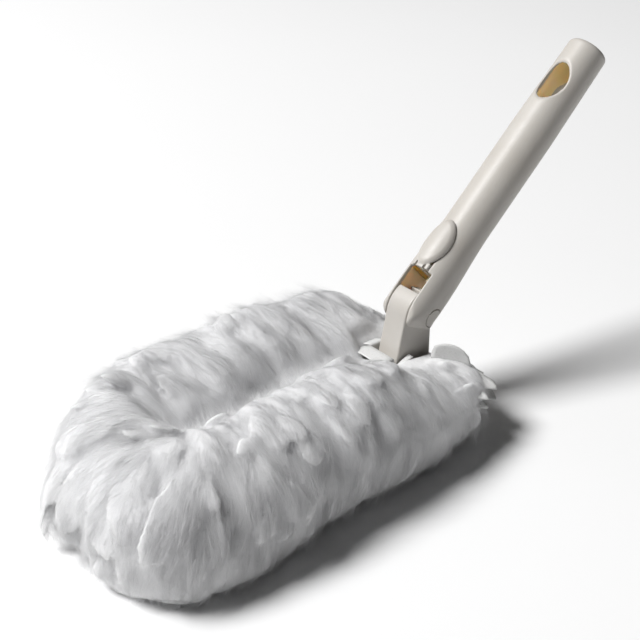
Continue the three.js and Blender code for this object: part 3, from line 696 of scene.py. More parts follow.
def neck_field(points):
    x, y, z = parts(points)
    around = np.hypot(x, z)
    front = -x * math.cos(NECK_LEAN) + z * math.sin(NECK_LEAN) - STRIP_RADIUS
    top = x * math.sin(STRIP_TOP) - z * math.cos(STRIP_TOP)
    round_front = np.where(z > STRIP_RADIUS * math.sin(NECK_LEAN), around - STRIP_RADIUS, front)
    cap = np.maximum(np.maximum(round_front, top), -z - 1)
    leg = np.maximum(np.maximum(front, x - NECK_BACK), z)
    first = -x * math.sin(RATCHET_START) + z * math.cos(RATCHET_START)
    ratchet = np.maximum(around - RATCHET_RADIUS, -first)
    middle = math.atan2(GRIP_ALONG[2], GRIP_ALONG[0])
    for k in range(NOTCH_COUNT):
        angle = middle + (k - (NOTCH_COUNT - 1) / 2) * NOTCH_PITCH
        out = x * math.cos(angle) + z * math.sin(angle)
        side = np.abs(-x * math.sin(angle) + z * math.cos(angle))
        notch = np.maximum(side - NOTCH_WIDTH / 2, RATCHET_RADIUS - NOTCH_DEPTH - out)
        ratchet = without(ratchet, notch, SMALL_EDGE)
    side_view = np.minimum(np.minimum(cap, leg), np.minimum(ratchet, around - HUB_RADIUS))
    side_view = np.maximum(side_view, NECK_FOOT - z)
    side_view = without(side_view, around - PIN_RADIUS - PIN_GAP, SMALL_EDGE)
    body = both(side_view, np.abs(y) - NECK_HALF, NECK_EDGE)
    (start, end), bottom = TONGUE
    tongue = np.maximum(np.maximum(start - x, x - end), np.maximum(bottom - z, z - NECK_FOOT - 1))
    return np.minimum(body, np.maximum(tongue, np.abs(y) - NECK_HALF))


def from_grip(points):
    return PIVOT + points @ GRIP_FRAME


def from_pivot(points):
    return PIVOT + points


def carved(name, field, low, high, place, materials, step=SURFACE_STEP):
    points, quads = level_surface(field, low, high, step)
    return new_piece(name, place(points), quads, materials), points, quads


def make_grip():
    half = CHEEK_DIAMETER / 2
    low = (-CHEEK_NOSE, -half, AXIS_OFFSET - half)
    high = (GRIP_REACH, half, AXIS_OFFSET + half)
    piece, points, quads = carved("grip", grip_field, low, high, from_grip, [IVORY, AMBER_PAINTED_GLOW])
    middles = points[quads].mean(axis=1)
    in_yoke = (np.abs(middles[:, 1]) < YOKE_HALF + 0.3) & (middles[:, 0] < YOKE_END)
    # Faces deep inside the grip's bore, yoke and hole get the painted amber glow.
    inner = (grip_outside(middles) < -GLOW_PAINT_DEPTH) & (in_yoke | (middles[:, 0] > YOKE_END - 1))
    piece.data.polygons.foreach_set("material_index", inner.astype(np.int32))
    settle(piece, "handle", "ivory_plastic", "handle_grip")


def make_pin_and_ring():
    half = CHEEK_DIAMETER / 2
    low = (-PIN_HEAD_RADIUS, -half, -PIN_HEAD_RADIUS)
    high = (PIN_HEAD_RADIUS, half, PIN_HEAD_RADIUS)
    pin = carved("pin", pin_field, low, high, from_grip, [IVORY], PIN_STEP)[0]
    settle(pin, "handle", "ivory_plastic", "pivot_pin")
    ring = carved("pin_end_ring", ring_field, low, high, from_grip, [IVORY], RING_STEP)[0]
    settle(ring, "handle", "ivory_plastic", "pin_ring")


def make_button():
    half_length, half_width = BUTTON_HALF
    low = (STEM_START - 1, -half_width - 1, STEM_BASE)
    high = (BUTTON_MIDDLE + half_length + 1, half_width + 1, AXIS_OFFSET + CHEEK_DIAMETER / 2 + 4)
    button = carved("thumb_button", button_field, low, high, from_grip, [IVORY], BUTTON_STEP)[0]
    settle(button, "lock", "ivory_plastic", "release_button")


def make_neck():
    low = (-STRIP_RADIUS - 8, -NECK_HALF, TONGUE[1])
    high = (RATCHET_RADIUS, NECK_HALF, STRIP_RADIUS)
    neck = carved("neck", neck_field, low, high, from_pivot, [IVORY], NECK_STEP)[0]
    settle(neck, "holder", "ivory_plastic", "swivel_neck")


def softened_copy(name, node, material, edge):
    """A merged copy of a CAD piece with its edges rounded."""
    mesh = frame["nodes"][node].data.copy()
    piece = bpy.data.objects.new(name, mesh)
    bpy.context.scene.collection.objects.link(piece)
    weld = piece.modifiers.new("weld", "WELD")
    weld.merge_threshold = 0.00001
    bevel = piece.modifiers.new("edges", "BEVEL")
    bevel.width = edge * MM
    bevel.segments = 3
    bevel.limit_method = "ANGLE"
    bevel.angle_limit = math.radians(32)
    finished(piece)
    piece.data.materials.clear()
    piece.data.materials.append(material)
    return piece


def make_inner_plastic():
    settle(softened_copy("prong_fork", "fork", IVORY, 0.5), "holder", "ivory_plastic", "fork")
    # The slider and the spring plug inside the grip carry the painted amber glow as well.
    settle(softened_copy("slider_bar", "lock_slider", AMBER_PAINTED_GLOW, 0.35), "lock", "inner_plastic", "lock_slider")
    settle(softened_copy("spring_plug", "spring_seat", AMBER_PAINTED_GLOW, 0.3), "handle", "inner_plastic", "spring_seat")


# Refill: places on the rolls are a distance along their middle line, an angle round it from the
# outside over the top to the valley, and a distance from it.
STRAIGHT = ROLL_REAR - BEND_CENTRE
BEND = math.pi * ROLL_SPREAD
NEAR_START = STRAIGHT + BEND
ROLL_LENGTH = NEAR_START + STRAIGHT


def plan_share(x):
    """How far the rolls have drawn together towards the rear end, as a share of their full spread."""
    end = np.clip(x / HEAD_HALF_LENGTH, 0, 1)
    return lerp(REAR_END_SHARE, 1.0, np.sqrt(1 - end ** 3))


def sway(x):
    """How far the soft refill's front end is bent to one side."""
    return -TIP_SWAY * ((HEAD_HALF_LENGTH - x) / (2 * HEAD_HALF_LENGTH)) ** 2


def near_share(u):
    """From 0 on the far roll to 1 on the near one."""
    return smooth_step(u, STRAIGHT, NEAR_START)


def roll_breadth(u, out):
    """Breadth of the rolls' outer half, and of the inner half that slopes into the valley."""
    outer, inner = [lerp(far, near, near_share(u)) for far, near in zip(FAR_BREADTHS, NEAR_BREADTHS)]
    return np.where(out > 0, outer, inner)


def roll_rise(x, u):
    """Height of the rolls' upper half, which slopes down to the rear end."""
    falls = [lerp(1.0, share, smooth_step(x, start, end)) for start, end, share in (FAR_FALL, NEAR_FALL)]
    return ROLL_RISE * lerp(*falls, near_share(u))


def bend_reach(forward, across):
    """Distance from the bend's centre, measured so that its near corner is squarer than its far one."""
    near, far = BEND_SQUARENESS
    side = across / np.maximum(np.hypot(forward, across), SMALL)
    power = lerp(near, far, smooth_step(side, -BEND_CHANGE, BEND_CHANGE))
    return (np.abs(forward) ** power + np.abs(across) ** power) ** (1 / power)


def underside(u, out, up):
    """Distance from the rolls' middle line, measured so that the near front corner's foot is square."""
    round_foot, square_foot, reach = UNDERSIDE_SQUARENESS
    square = lerp(round_foot, square_foot, np.exp(-((u - NEAR_START + SQUARE_CORNER) / reach) ** 2))
    power = np.where(up < 0, square, 2.0)
    return (np.abs(out) ** power + np.abs(up) ** power) ** (1 / power)


def roll_point(u, angle, reach):
    reach = reach / underside(u, np.cos(angle), np.sin(angle))
    turn = np.clip((u - STRAIGHT) / ROLL_SPREAD, 0, math.pi)
    run = np.where(u < STRAIGHT, STRAIGHT - u, np.maximum(u - NEAR_START, 0))
    outwards = ROLL_SPREAD + reach * np.cos(angle) * roll_breadth(u, np.cos(angle))
    outwards = outwards / bend_reach(np.sin(turn), np.cos(turn))
    x = BEND_CENTRE + run - outwards * np.sin(turn)
    y = (ROLL_MIDDLE + outwards * np.cos(turn)) * plan_share(x) + sway(x)
    z = ROLL_HEIGHT + reach * np.sin(angle) * np.where(np.sin(angle) > 0, roll_rise(x, u), ROLL_SINK)
    return np.stack([x, y, z], axis=-1)


def roll_place(points):
    """Distance along the rolls, angle, and distance from the middle line, for points near them."""
    x, y, z = parts(points)
    y = (y - sway(x)) / plan_share(x) - ROLL_MIDDLE
    forward = np.minimum(x - BEND_CENTRE, 0)
    turn = np.arctan2(np.abs(forward), y)
    run = np.maximum(x - BEND_CENTRE, 0)
    u = STRAIGHT + turn * ROLL_SPREAD + np.where(y > 0, -run, run)
    out = bend_reach(forward, y) - ROLL_SPREAD
    out = out / roll_breadth(u, out)
    up = (z - ROLL_HEIGHT) / np.where(z > ROLL_HEIGHT, roll_rise(x, u), ROLL_SINK)
    return u, np.arctan2(up, out), underside(u, out, up)


def lumps(u, angle):
    """Uneven swellings of the tow, in millimetres: broad waves, slanting bands and fine ripples."""
    short, long = WAVE_LENGTHS
    waves = np.sin(u / short + 2.0 * np.sin(angle * 1.3)) * np.cos(angle * 2.2 + u / long)
    short, long = RIPPLE_LENGTHS
    ripples = np.sin(u / short + 2.2 * np.sin(angle * 1.9 + u / long)) * np.sin(angle)
    bands = np.sin(u / BAND_LENGTH - angle * 1.7)
    wave_height, band_height, ripple_height = LUMP_HEIGHTS
    return wave_height * waves + band_height * bands + ripple_height * ripples


def tow_core(points):
    """Both rolls and the slab that closes the valley between them, flat on the floor."""
    x, y, z = parts(points)
    u, angle, reach = roll_place(points)
    beyond = np.maximum(x - ROLL_REAR, 0)
    roll = np.hypot(reach, beyond * REAR_STEEPNESS) - ROLL_RADIUS - lumps(u, angle)
    across = np.abs(y - sway(x) - ROLL_MIDDLE) - ROLL_SPREAD
    ends = np.maximum(x - ROLL_REAR - SLAB_REAR, BEND_CENTRE - SLAB_FRONT - x)
    slab = np.maximum(z - VALLEY_FLOOR, np.maximum(across, ends))
    return both(either(roll, slab, VALLEY_EDGE), FLOOR_GAP - z, FOOT_EDGE)


def skirt_share(points):
    """Where the upper tow hangs down over the lower one, from 0 to 1. The sleeves' mouths stay open."""
    x, y, z = parts(points)
    u, angle, reach = roll_place(points)
    beside = smooth_step(np.abs(y), *MOUTH_EDGE)
    outwards = np.maximum(reach * np.cos(angle), (x - ROLL_REAR) * beside)
    return smooth_step(outwards, *SKIRT_SPAN)


def skirt_height(points):
    """Height of the seam between the upper and the lower tow round the outside, a little ragged."""
    u = roll_place(points)[0]
    return SKIRT_HEIGHT + SKIRT_WAVE * np.sin(u / 4.7 + 1.5 * np.sin(u / 11.0))


def upper_core(points):
    x, y, z = parts(points)
    foot, low, high = CHANNEL_FOOT
    half = lerp(foot, CHANNEL_HALF + 1, smooth_step(z, low, high))
    channel = np.maximum(CHANNEL_FRONT - x, np.abs(y) - half)
    base = lerp(UPPER_BASE, skirt_height(points) + SEAM_GAP / 2, skirt_share(points))
    return without(both(tow_core(points), base - z, TOW_EDGE), channel, CHANNEL_EDGE)


def lower_core(points):
    top = lerp(LOWER_TOP, skirt_height(points) - SEAM_GAP / 2, skirt_share(points))
    return both(tow_core(points), points[..., 2] - top, TOW_EDGE)


# Locks of tow: where they start on the rolls, how they lie, and how pointed they are
LOCK_STATIONS = 12
LOCK_SIDES = 10
LIFT_HEIGHTS = (2.0, 16.0)
LOCK_SINK = (1.0, 1.5)  # at the tip, added at the root
LOCK_RISE = 1.7
LOCK_DROOP = 2.5
LOCK_CURL = (0.8, 2.0)  # down, aside
LOCK_VARIETY = (0.65, 1.35)
LIFT_VARIETY = (0.1, 1.4)
LOCK_ROOT_WIDTH = 0.45
LOCK_TIP_THICKNESS = 0.7
BEND_MARGIN = 5
LOCK_FAMILIES = (
    {"along": (4, STRAIGHT), "angles": (160, 100), "rows": 2, "spacing": 15, "length": 36, "width": 18,
     "thickness": 3.6, "lift": 1.6, "lean": 0.6, "scatter": 0.2, "point": 0.5},
    {"along": (2, STRAIGHT + 30), "angles": (100, 70), "rows": 2, "spacing": 11, "length": 18, "width": 9,
     "thickness": 3.5, "lift": 7.0, "lean": 0.2, "scatter": 0.5, "point": 0.9},
    {"along": (2, STRAIGHT), "angles": (60, -30), "rows": 3, "spacing": 15, "length": 30, "width": 16,
     "thickness": 4, "lift": 2.5, "lean": 0.35, "scatter": 0.35, "point": 0.6},
    {"along": (STRAIGHT - 15, NEAR_START + 25), "angles": (145, 10), "rows": 6, "spacing": 10, "length": 27,
     "width": 14, "thickness": 3.0, "lift": 3.0, "lean": 0.05, "scatter": 0.4, "point": 0.4},
    {"along": (STRAIGHT - 5, STRAIGHT + 0.7 * BEND), "angles": (40, 10), "rows": 2, "spacing": 10,
     "length": 24, "width": 10, "thickness": 3.2, "lift": 7.5, "lean": 0.05, "scatter": 0.35, "point": 0.5},
    {"along": (NEAR_START, ROLL_LENGTH), "angles": (150, 70), "rows": 4, "spacing": 11, "length": 20,
     "width": 12, "thickness": 3.0, "lift": 3.4, "lean": 0.3, "scatter": 0.5, "point": 0.4},
    {"along": (NEAR_START, ROLL_LENGTH), "angles": (50, -30), "rows": 2, "spacing": 19, "length": 36,
     "width": 24, "thickness": 3.4, "lift": 0.4, "lean": 0.35, "scatter": 0.25, "point": 0.5},
    {"along": (STRAIGHT - 30, ROLL_LENGTH - 15), "angles": (2, -14), "rows": 1, "spacing": 12, "length": 17,
     "width": 17, "thickness": 4.5, "lift": 1.2, "lean": 0.2, "scatter": 0.4, "point": 0.5},
    {"along": (2, 14), "angles": (120, 0), "rows": 4, "spacing": 6, "length": 17, "width": 11,
     "thickness": 3.2, "lift": 0.8, "lean": -1.0, "scatter": 0.3, "point": 0.5},
    {"along": (ROLL_LENGTH - 14, ROLL_LENGTH - 2), "angles": (120, 0), "rows": 4, "spacing": 6, "length": 15,
     "width": 11, "thickness": 3.2, "lift": 0.8, "lean": -1.0, "scatter": 0.3, "point": 0.5},
)


def lock_places(draw, along, angles, rows, spacing):
    """Jittered places over a stretch of the rolls, fewer where the bend's inside brings them together."""
    first, last = np.radians(angles)
    u, angle = np.meshgrid(np.arange(*along, spacing), np.linspace(first, last, rows))
    u = u + draw.uniform(-0.5, 0.5, u.shape) * spacing
    angle = angle + draw.uniform(-0.5, 0.5, angle.shape) * (first - last) / rows
    in_bend = (u > STRAIGHT - BEND_MARGIN) & (u < NEAR_START + BEND_MARGIN)
    room = np.where(in_bend, 1 + ROLL_RADIUS * np.cos(angle) / ROLL_SPREAD, 1)
    kept = draw.uniform(0, 1, u.shape) < room
    return u[kept], angle[kept]


def lock_paths(draw, u, angle, length, lift, lean):
    """Middle lines of locks that lie on the rolls and rise towards their tips, and their outward side."""
    share = np.linspace(0, 1, LOCK_STATIONS)[None, :]
    spread = np.where(u < STRAIGHT + BEND / 2, 1.0, -1.0)
    along = u[:, None] + (length * np.sin(lean) * spread)[:, None] * share
    round_ = angle[:, None] - (length * np.cos(lean))[:, None] * share / (ROLL_RADIUS + 2)
    clear = smooth_step(roll_point(along, round_, ROLL_RADIUS)[..., 2], *LIFT_HEIGHTS)
    sunk = LOCK_SINK[0] + LOCK_SINK[1] * (1 - share) ** 2
    reach = ROLL_RADIUS + lumps(u, angle)[:, None] - sunk + lift[:, None] * share ** LOCK_RISE * clear
    points = roll_point(along, round_, reach)
    curl = draw.normal(0, 1, (len(u), 2))
    down, aside = LOCK_CURL
    points[..., 2] -= (LOCK_DROOP * np.cos(round_) ** 2 + down * np.abs(curl[:, :1])) * share ** 2
    points[..., 0] += aside * curl[:, 1:] * share ** 2
    outwards = roll_point(along, round_, reach + 1) - roll_point(along, round_, reach)
    return points, outwards


def lock_profile(draw, count, width, thickness, point):
    """Half widths and half thicknesses along the locks."""
    share = np.linspace(0, 1, LOCK_STATIONS)[None, :]
    swell = lerp(LOCK_ROOT_WIDTH, 1.0, smooth_step(share, 0.0, 0.5))
    tip = np.clip(1 - (np.maximum(share - 0.5, 0) / 0.5) ** 2, 0.01, 1) ** point
    size = draw.uniform(*LOCK_VARIETY, (count, 1))
    thinning = lerp(1.0, LOCK_TIP_THICKNESS, share)
    return width / 2 * swell * tip * size, thickness / 2 * thinning * np.sqrt(tip) * size


def tubes(points, outwards, width, thickness):
    """Closed flattened tubes round many paths at once, as points and faces."""
    forward = np.gradient(points, axis=1)
    side = np.cross(forward, outwards)
    side /= np.linalg.norm(side, axis=-1, keepdims=True)
    over = np.cross(side, forward)
    over /= np.linalg.norm(over, axis=-1, keepdims=True)
    turn = np.arange(LOCK_SIDES) * 2 * math.pi / LOCK_SIDES
    ring = (points[:, :, None] + side[:, :, None] * (width[..., None] * np.cos(turn))[..., None]
            + over[:, :, None] * (thickness[..., None] * np.sin(turn))[..., None])
    number = np.arange(ring[..., 0].size).reshape(ring.shape[:3])
    first, second = number[:, :-1], number[:, 1:]
    wall = np.stack([first, np.roll(first, -1, 2), np.roll(second, -1, 2), second], axis=-1)
    faces = wall.reshape(-1, 4).tolist()
    faces += number[:, 0, ::-1].tolist() + number[:, -1].tolist()
    return ring.reshape(-1, 3), faces


def grow_locks(draw, along, angles, rows, spacing, length, width, thickness, lift, lean, scatter, point):
    """One family of locks as points and faces, clear of the neck's channel and of the floor."""
    u, angle = lock_places(draw, along, angles, rows, spacing)
    count = len(u)
    leans = draw.normal(lean, scatter, count)
    lengths = length * draw.uniform(*LOCK_VARIETY, count)
    lifts = lift * draw.uniform(*LIFT_VARIETY, count)
    points, outwards = lock_paths(draw, u, angle, lengths, lifts, leans)
    half_width, half_thickness = lock_profile(draw, count, width, thickness, point)
    points[..., 2] = np.maximum(points[..., 2], FLOOR_GAP + half_thickness)
    x, y, z = parts(points)
    in_channel = (x > CHANNEL_FRONT - width / 2) & (np.abs(y) < CHANNEL_HALF + width / 2)
    kept = ~in_channel.any(axis=1)
    points, faces = tubes(points[kept], outwards[kept], half_width[kept], half_thickness[kept])
    points[:, 2] = np.maximum(points[:, 2], FLOOR_GAP)
    return points, faces


def merged(pieces):
    points, faces, start = [], [], 0
    for more_points, more_faces in pieces:
        points.append(np.asarray(more_points))
        faces += [[start + k for k in face] for face in more_faces]
        start += len(more_points)
    return np.concatenate(points), faces


def tow_body(name, core, locks):
    """A felted body of one core and its locks, with soft creases between them."""
    core_points, core_quads = level_surface(core, *TOW_BOX, TOW_CORE_STEP)
    piece = new_piece(name, *merged([(core_points, core_quads.tolist()), *locks]), [TOW])
    remesh = piece.modifiers.new("felt", "REMESH")
    remesh.mode = "VOXEL"
    remesh.voxel_size = TOW_VOXEL * MM
    remesh.use_smooth_shade = True
    smooth = piece.modifiers.new("soften", "SMOOTH")
    smooth.factor, smooth.iterations = TOW_SOFTENING
    finished(piece)
    piece.data.materials.clear()
    piece.data.materials.append(TOW)
    comb(piece)
    return piece


# Fibres, and where the tow bears none: beside the neck, at the sheets, at the sleeves' mouths, at the floor
COMB_STEP = 0.05
COMB_SLANT = 0.3
BARE_MARGIN = 5
BARE_SEAM = 3.6
BARE_FOOT = 2.0
MOUTH_DEPTH = 10
MOUTH_HALF_HEIGHT = 9


def unit(vectors):
    return vectors / np.maximum(np.linalg.norm(vectors, axis=-1, keepdims=True), SMALL)


def comb(piece):
    """Stores the fibres' direction, the fluff's density and the strand map on a tow body."""
    mesh = piece.data
    points = np.empty(len(mesh.vertices) * 3, np.float32)
    mesh.vertices.foreach_get("co", points)
    points = points.reshape(-1, 3).astype(float) / MM
    u, angle, reach = roll_place(points)
    here = roll_point(u, angle, reach)
    spread = np.where(u < STRAIGHT + BEND / 2, 1.0, -1.0)
    downwards = unit(roll_point(u, angle - COMB_STEP, reach) - here)
    sideways = unit(roll_point(u + spread, angle, reach) - here)
    flow = unit(downwards + COMB_SLANT * sideways)
    mesh.attributes.new("flow", "FLOAT_VECTOR", "POINT").data.foreach_set("vector", flow.ravel())
    x, y, z = parts(points)
    from_sheets = np.abs(z - (UPPER_BASE + LOWER_TOP) / 2)
    shut = (x > CHANNEL_FRONT - BARE_MARGIN) & (np.abs(y) < CHANNEL_HALF + BARE_MARGIN)
    inside = (from_sheets < BARE_SEAM) & (reach * np.cos(angle) < SKIRT_SPAN[0])
    mouth = (x > ROLL_REAR - MOUTH_DEPTH) & (np.abs(y) < MOUTH_EDGE[1]) & (from_sheets < MOUTH_HALF_HEIGHT)
    dense = np.where(shut | inside | mouth | (z < BARE_FOOT), 0.0, 1.0)
    mesh.attributes.new("density", "FLOAT", "POINT").data.foreach_set("value", dense)
    corner = np.empty(len(mesh.loops), np.int32)
    mesh.loops.foreach_get("vertex_index", corner)
    strand = np.stack([u / 10, angle * ROLL_RADIUS / 10], axis=1)[corner]
    mesh.uv_layers.new(name="strand").data.foreach_set("uv", strand.ravel())


FIBRE_INPUTS = (
    ("Body", "NodeSocketGeometry"), ("Density", "NodeSocketFloat"), ("Seed", "NodeSocketInt"),
    ("Lock density", "NodeSocketFloat"), ("Length", "NodeSocketFloat"), ("Width", "NodeSocketFloat"),
    ("Lift", "NodeSocketFloat"), ("Wander", "NodeSocketFloat"), ("Gathering", "NodeSocketFloat"),
    ("Material", "NodeSocketMaterial"),
)
FIBRE_POINTS = 4
FIBRE_LENGTHS = (0.45, 1.2)
LOCK_LIFTS = (0.1, 1.0)
FIBRE_LIFTS = (0.4, 1.2)
FIBRE_CLEARANCE = 0.2
FIBRE_TIP = 0.25
WANDER_SCALE = 120.0
WANDER_POWER = 1.5
RISE_POWER = 1.6
LOOSE_SHARE = 0.45
STRAND_STEP = 0.37
BAKE_CELLS = 90
BAKE_CELL_USED = (0.8, 0.1)  # share of a cell, margin


def fibre_tree():
    """Fibres over a tow body: they follow its flow, gather into locks and rise at their tips."""
    tree = bpy.data.node_groups.new("tow_fibres", "GeometryNodeTree")
    for name, kind in FIBRE_INPUTS:
        tree.interface.new_socket(name, in_out="INPUT", socket_type=kind)
    tree.interface.new_socket("Fibres", in_out="OUTPUT", socket_type="NodeSocketGeometry")
    given = tree.nodes.new("NodeGroupInput").outputs

    def named(name, kind):
        return add_node(tree, "GeometryNodeInputNamedAttribute", {"Name": name}, data_type=kind).outputs[0]

    def stored(geometry, name, value, kind, domain="POINT"):
        inputs = {"Geometry": geometry, "Name": name, "Value": value}
        settings = {"data_type": kind, "domain": domain}
        return add_node(tree, "GeometryNodeStoreNamedAttribute", inputs, **settings).outputs[0]

    def random(span, number, seed):
        inputs = {2: span[0], 3: span[1], "ID": number, "Seed": seed}
        return add_node(tree, "FunctionNodeRandomValue", inputs, data_type="FLOAT").outputs[1]

    density = math_node(tree, "MULTIPLY", given["Density"], named("density", "FLOAT"))
    roots = add_node(tree, "GeometryNodeDistributePointsOnFaces",
                     {"Mesh": given["Body"], "Density": density, "Seed": given["Seed"]})
    locks = add_node(tree, "GeometryNodeDistributePointsOnFaces",
                     {"Mesh": given["Body"], "Density": given["Lock density"], "Seed": SEED})
    place = add_node(tree, "GeometryNodeInputPosition").outputs[0]
    rooted = stored(roots.outputs["Points"], "root", place, "FLOAT_VECTOR")
    line = add_node(tree, "GeometryNodeCurvePrimitiveLine", {"End": (0.0, 0.0, MM)}).outputs[0]
    line = add_node(tree, "GeometryNodeResampleCurve", {"Curve": line, "Count": FIBRE_POINTS}).outputs[0]
    copies = add_node(tree, "GeometryNodeInstanceOnPoints", {"Points": rooted, "Instance": line}).outputs[0]
    curves = add_node(tree, "GeometryNodeRealizeInstances", {"Geometry": copies}).outputs[0]

    share = add_node(tree, "GeometryNodeSplineParameter").outputs["Factor"]
    number = add_node(tree, "GeometryNodeCurveOfPoint").outputs["Curve Index"]
    root = named("root", "FLOAT_VECTOR")
    nearest = add_node(tree, "GeometryNodeSampleNearest",
                       {"Geometry": locks.outputs["Points"], "Sample Position": root}).outputs[0]
    lock_root = add_node(tree, "GeometryNodeSampleIndex",
                         {"Geometry": locks.outputs["Points"], "Value": place, "Index": nearest},
                         data_type="FLOAT_VECTOR").outputs[0]
    gather = math_node(tree, "MULTIPLY", share, given["Gathering"])
    pull = scaled(tree, vector_node(tree, "SUBTRACT", lock_root, root), gather)
    length = math_node(tree, "MULTIPLY", given["Length"], random(FIBRE_LENGTHS, number, 1))
    run = scaled(tree, named("flow", "FLOAT_VECTOR"), math_node(tree, "MULTIPLY", length, share))
    noise = add_node(tree, "ShaderNodeTexNoise", {"Vector": root, "Scale": WANDER_SCALE, "Detail": 2.0})
    drift = vector_node(tree, "SUBTRACT", noise.outputs["Color"], (0.5, 0.5, 0.5))
    bend = math_node(tree, "MULTIPLY", given["Wander"], math_node(tree, "POWER", share, WANDER_POWER))
    aim = vector_node(tree, "ADD", vector_node(tree, "ADD", root, pull),
                      vector_node(tree, "ADD", run, scaled(tree, drift, bend)))
    near = add_node(tree, "GeometryNodeProximity", {"Geometry": given["Body"], "Sample Position": aim},
                    target_element="FACES").outputs["Position"]
    normal = add_node(tree, "GeometryNodeInputNormal").outputs[0]
    out = add_node(tree, "GeometryNodeSampleNearestSurface",
                   {"Mesh": given["Body"], "Value": normal, "Sample Position": aim},
                   data_type="FLOAT_VECTOR").outputs[0]
    lift = math_node(tree, "MULTIPLY", given["Lift"], random(LOCK_LIFTS, nearest, 2))
    lift = math_node(tree, "MULTIPLY", lift, random(FIBRE_LIFTS, number, 3))
    rise = math_node(tree, "MULTIPLY", lift, math_node(tree, "POWER", share, RISE_POWER))
    rise = math_node(tree, "ADD", rise, FIBRE_CLEARANCE * MM)
    laid = vector_node(tree, "ADD", near, scaled(tree, out, rise))
    free = vector_node(tree, "ADD", aim, scaled(tree, out, rise))
    loose = math_node(tree, "MULTIPLY", share, LOOSE_SHARE)
    settled = add_node(tree, "ShaderNodeMix", {0: loose, 4: laid, 5: free}, data_type="VECTOR").outputs[1]
    settled = vector_node(tree, "MAXIMUM", settled, (-1.0, -1.0, FLOOR_GAP * MM))
    curves = add_node(tree, "GeometryNodeSetPosition", {"Geometry": curves, "Position": settled}).outputs[0]
    curves = stored(curves, "share", share, "FLOAT")
    curves = stored(curves, "number", number, "FLOAT")

    profile = add_node(tree, "GeometryNodeCurvePrimitiveCircle",
                       {"Resolution": 3, "Radius": math_node(tree, "DIVIDE", given["Width"], 2.0)}).outputs[0]
    around = add_node(tree, "GeometryNodeSplineParameter").outputs["Factor"]
    profile = stored(profile, "around", around, "FLOAT")
    taper = ramp(tree, math_node(tree, "POWER", share, 2.0), 0.0, 1.0, 1.0, FIBRE_TIP)
    mesh = add_node(tree, "GeometryNodeCurveToMesh",
                    {"Curve": curves, "Profile Curve": profile, "Scale": taper, "Fill Caps": True}).outputs[0]
    share, number, around = named("share", "FLOAT"), named("number", "FLOAT"), named("around", "FLOAT")
    column = math_node(tree, "MODULO", number, float(BAKE_CELLS))
    row = math_node(tree, "FLOOR", math_node(tree, "DIVIDE", number, float(BAKE_CELLS)))
    aside = math_node(tree, "MULTIPLY", number, STRAND_STEP)
    strand = add_node(tree, "ShaderNodeCombineXYZ", {"X": aside, "Y": share})
    mesh = stored(mesh, "fibre", strand.outputs[0], "FLOAT2", "CORNER")
    cell = []
    for start, inside in ((column, share), (row, around)):
        within = math_node(tree, "MULTIPLY_ADD", inside, *BAKE_CELL_USED)
        cell.append(math_node(tree, "DIVIDE", math_node(tree, "ADD", start, within), float(BAKE_CELLS)))
    bake = add_node(tree, "ShaderNodeCombineXYZ", {"X": cell[0], "Y": cell[1]})
    mesh = stored(mesh, "OFBake", bake.outputs[0], "FLOAT2", "CORNER")
    mesh = add_node(tree, "GeometryNodeRealizeInstances", {"Geometry": mesh}).outputs[0]
    dressed = {"Geometry": mesh, "Material": given["Material"]}
    mesh = add_node(tree, "GeometryNodeSetMaterial", dressed).outputs[0]
    result = tree.nodes.new("NodeGroupOutput")
    tree.links.new(mesh, result.inputs[0])
    return tree


UPPER_LAYERS = 6
WISP_LAYERS = 4
LOWER_LAYERS = 1
UPPER_SEED = 20
WISP_SEED = 60
LOWER_SEED = 40
FIBRE_LAYER = {"Density": 90000.0, "Lock density": 9000.0, "Length": 8 * MM, "Width": 0.07 * MM,
               "Lift": 1.8 * MM, "Wander": 11 * MM, "Gathering": 0.25}
WISP_LAYER = {"Density": 90000.0, "Lock density": 7000.0, "Length": 15 * MM, "Width": 0.08 * MM,
              "Lift": 5.5 * MM, "Wander": 9 * MM, "Gathering": 0.6}


def make_fibres(tree, body, name, seed, values):
    """One layer of fibres over a tow body, as a piece of its own."""
    piece = bpy.data.objects.new(name, body.data)
    bpy.context.scene.collection.objects.link(piece)
    grown = piece.modifiers.new("fibres", "NODES")
    grown.node_group = tree
    given = {item.name: item.identifier for item in tree.interface.items_tree if item.in_out == "INPUT"}
    for key, value in {**values, "Seed": seed, "Material": FIBRE}.items():
        grown[given[key]] = value
    finished(piece)
    for spare in ("root", "flow", "density", "share", "number", "around"):
        if spare in piece.data.attributes:
            piece.data.attributes.remove(piece.data.attributes[spare])
    settle(piece, "refill", "fibre_tow")
    return piece


def make_refill():
    draw = np.random.default_rng(SEED)
    tree = fibre_tree()
    upper = tow_body("upper_tow", upper_core, [grow_locks(draw, **family) for family in LOCK_FAMILIES])
    settle(upper, "refill", "fibre_tow", "upper_tow_outer", "upper_tow_inner")
    lower = tow_body("lower_tow", lower_core, [])
    settle(lower, "refill", "fibre_tow", "lower_tow_inner", "lower_tow_outer")
    for k in range(UPPER_LAYERS):
        make_fibres(tree, upper, f"upper_fibres_{k + 1}", UPPER_SEED + k, FIBRE_LAYER)
    for k in range(WISP_LAYERS):
        make_fibres(tree, upper, f"upper_wisps_{k + 1}", WISP_SEED + k, WISP_LAYER)
    for k in range(LOWER_LAYERS):
        make_fibres(tree, lower, f"lower_fibres_{k + 1}", LOWER_SEED + k, FIBRE_LAYER)


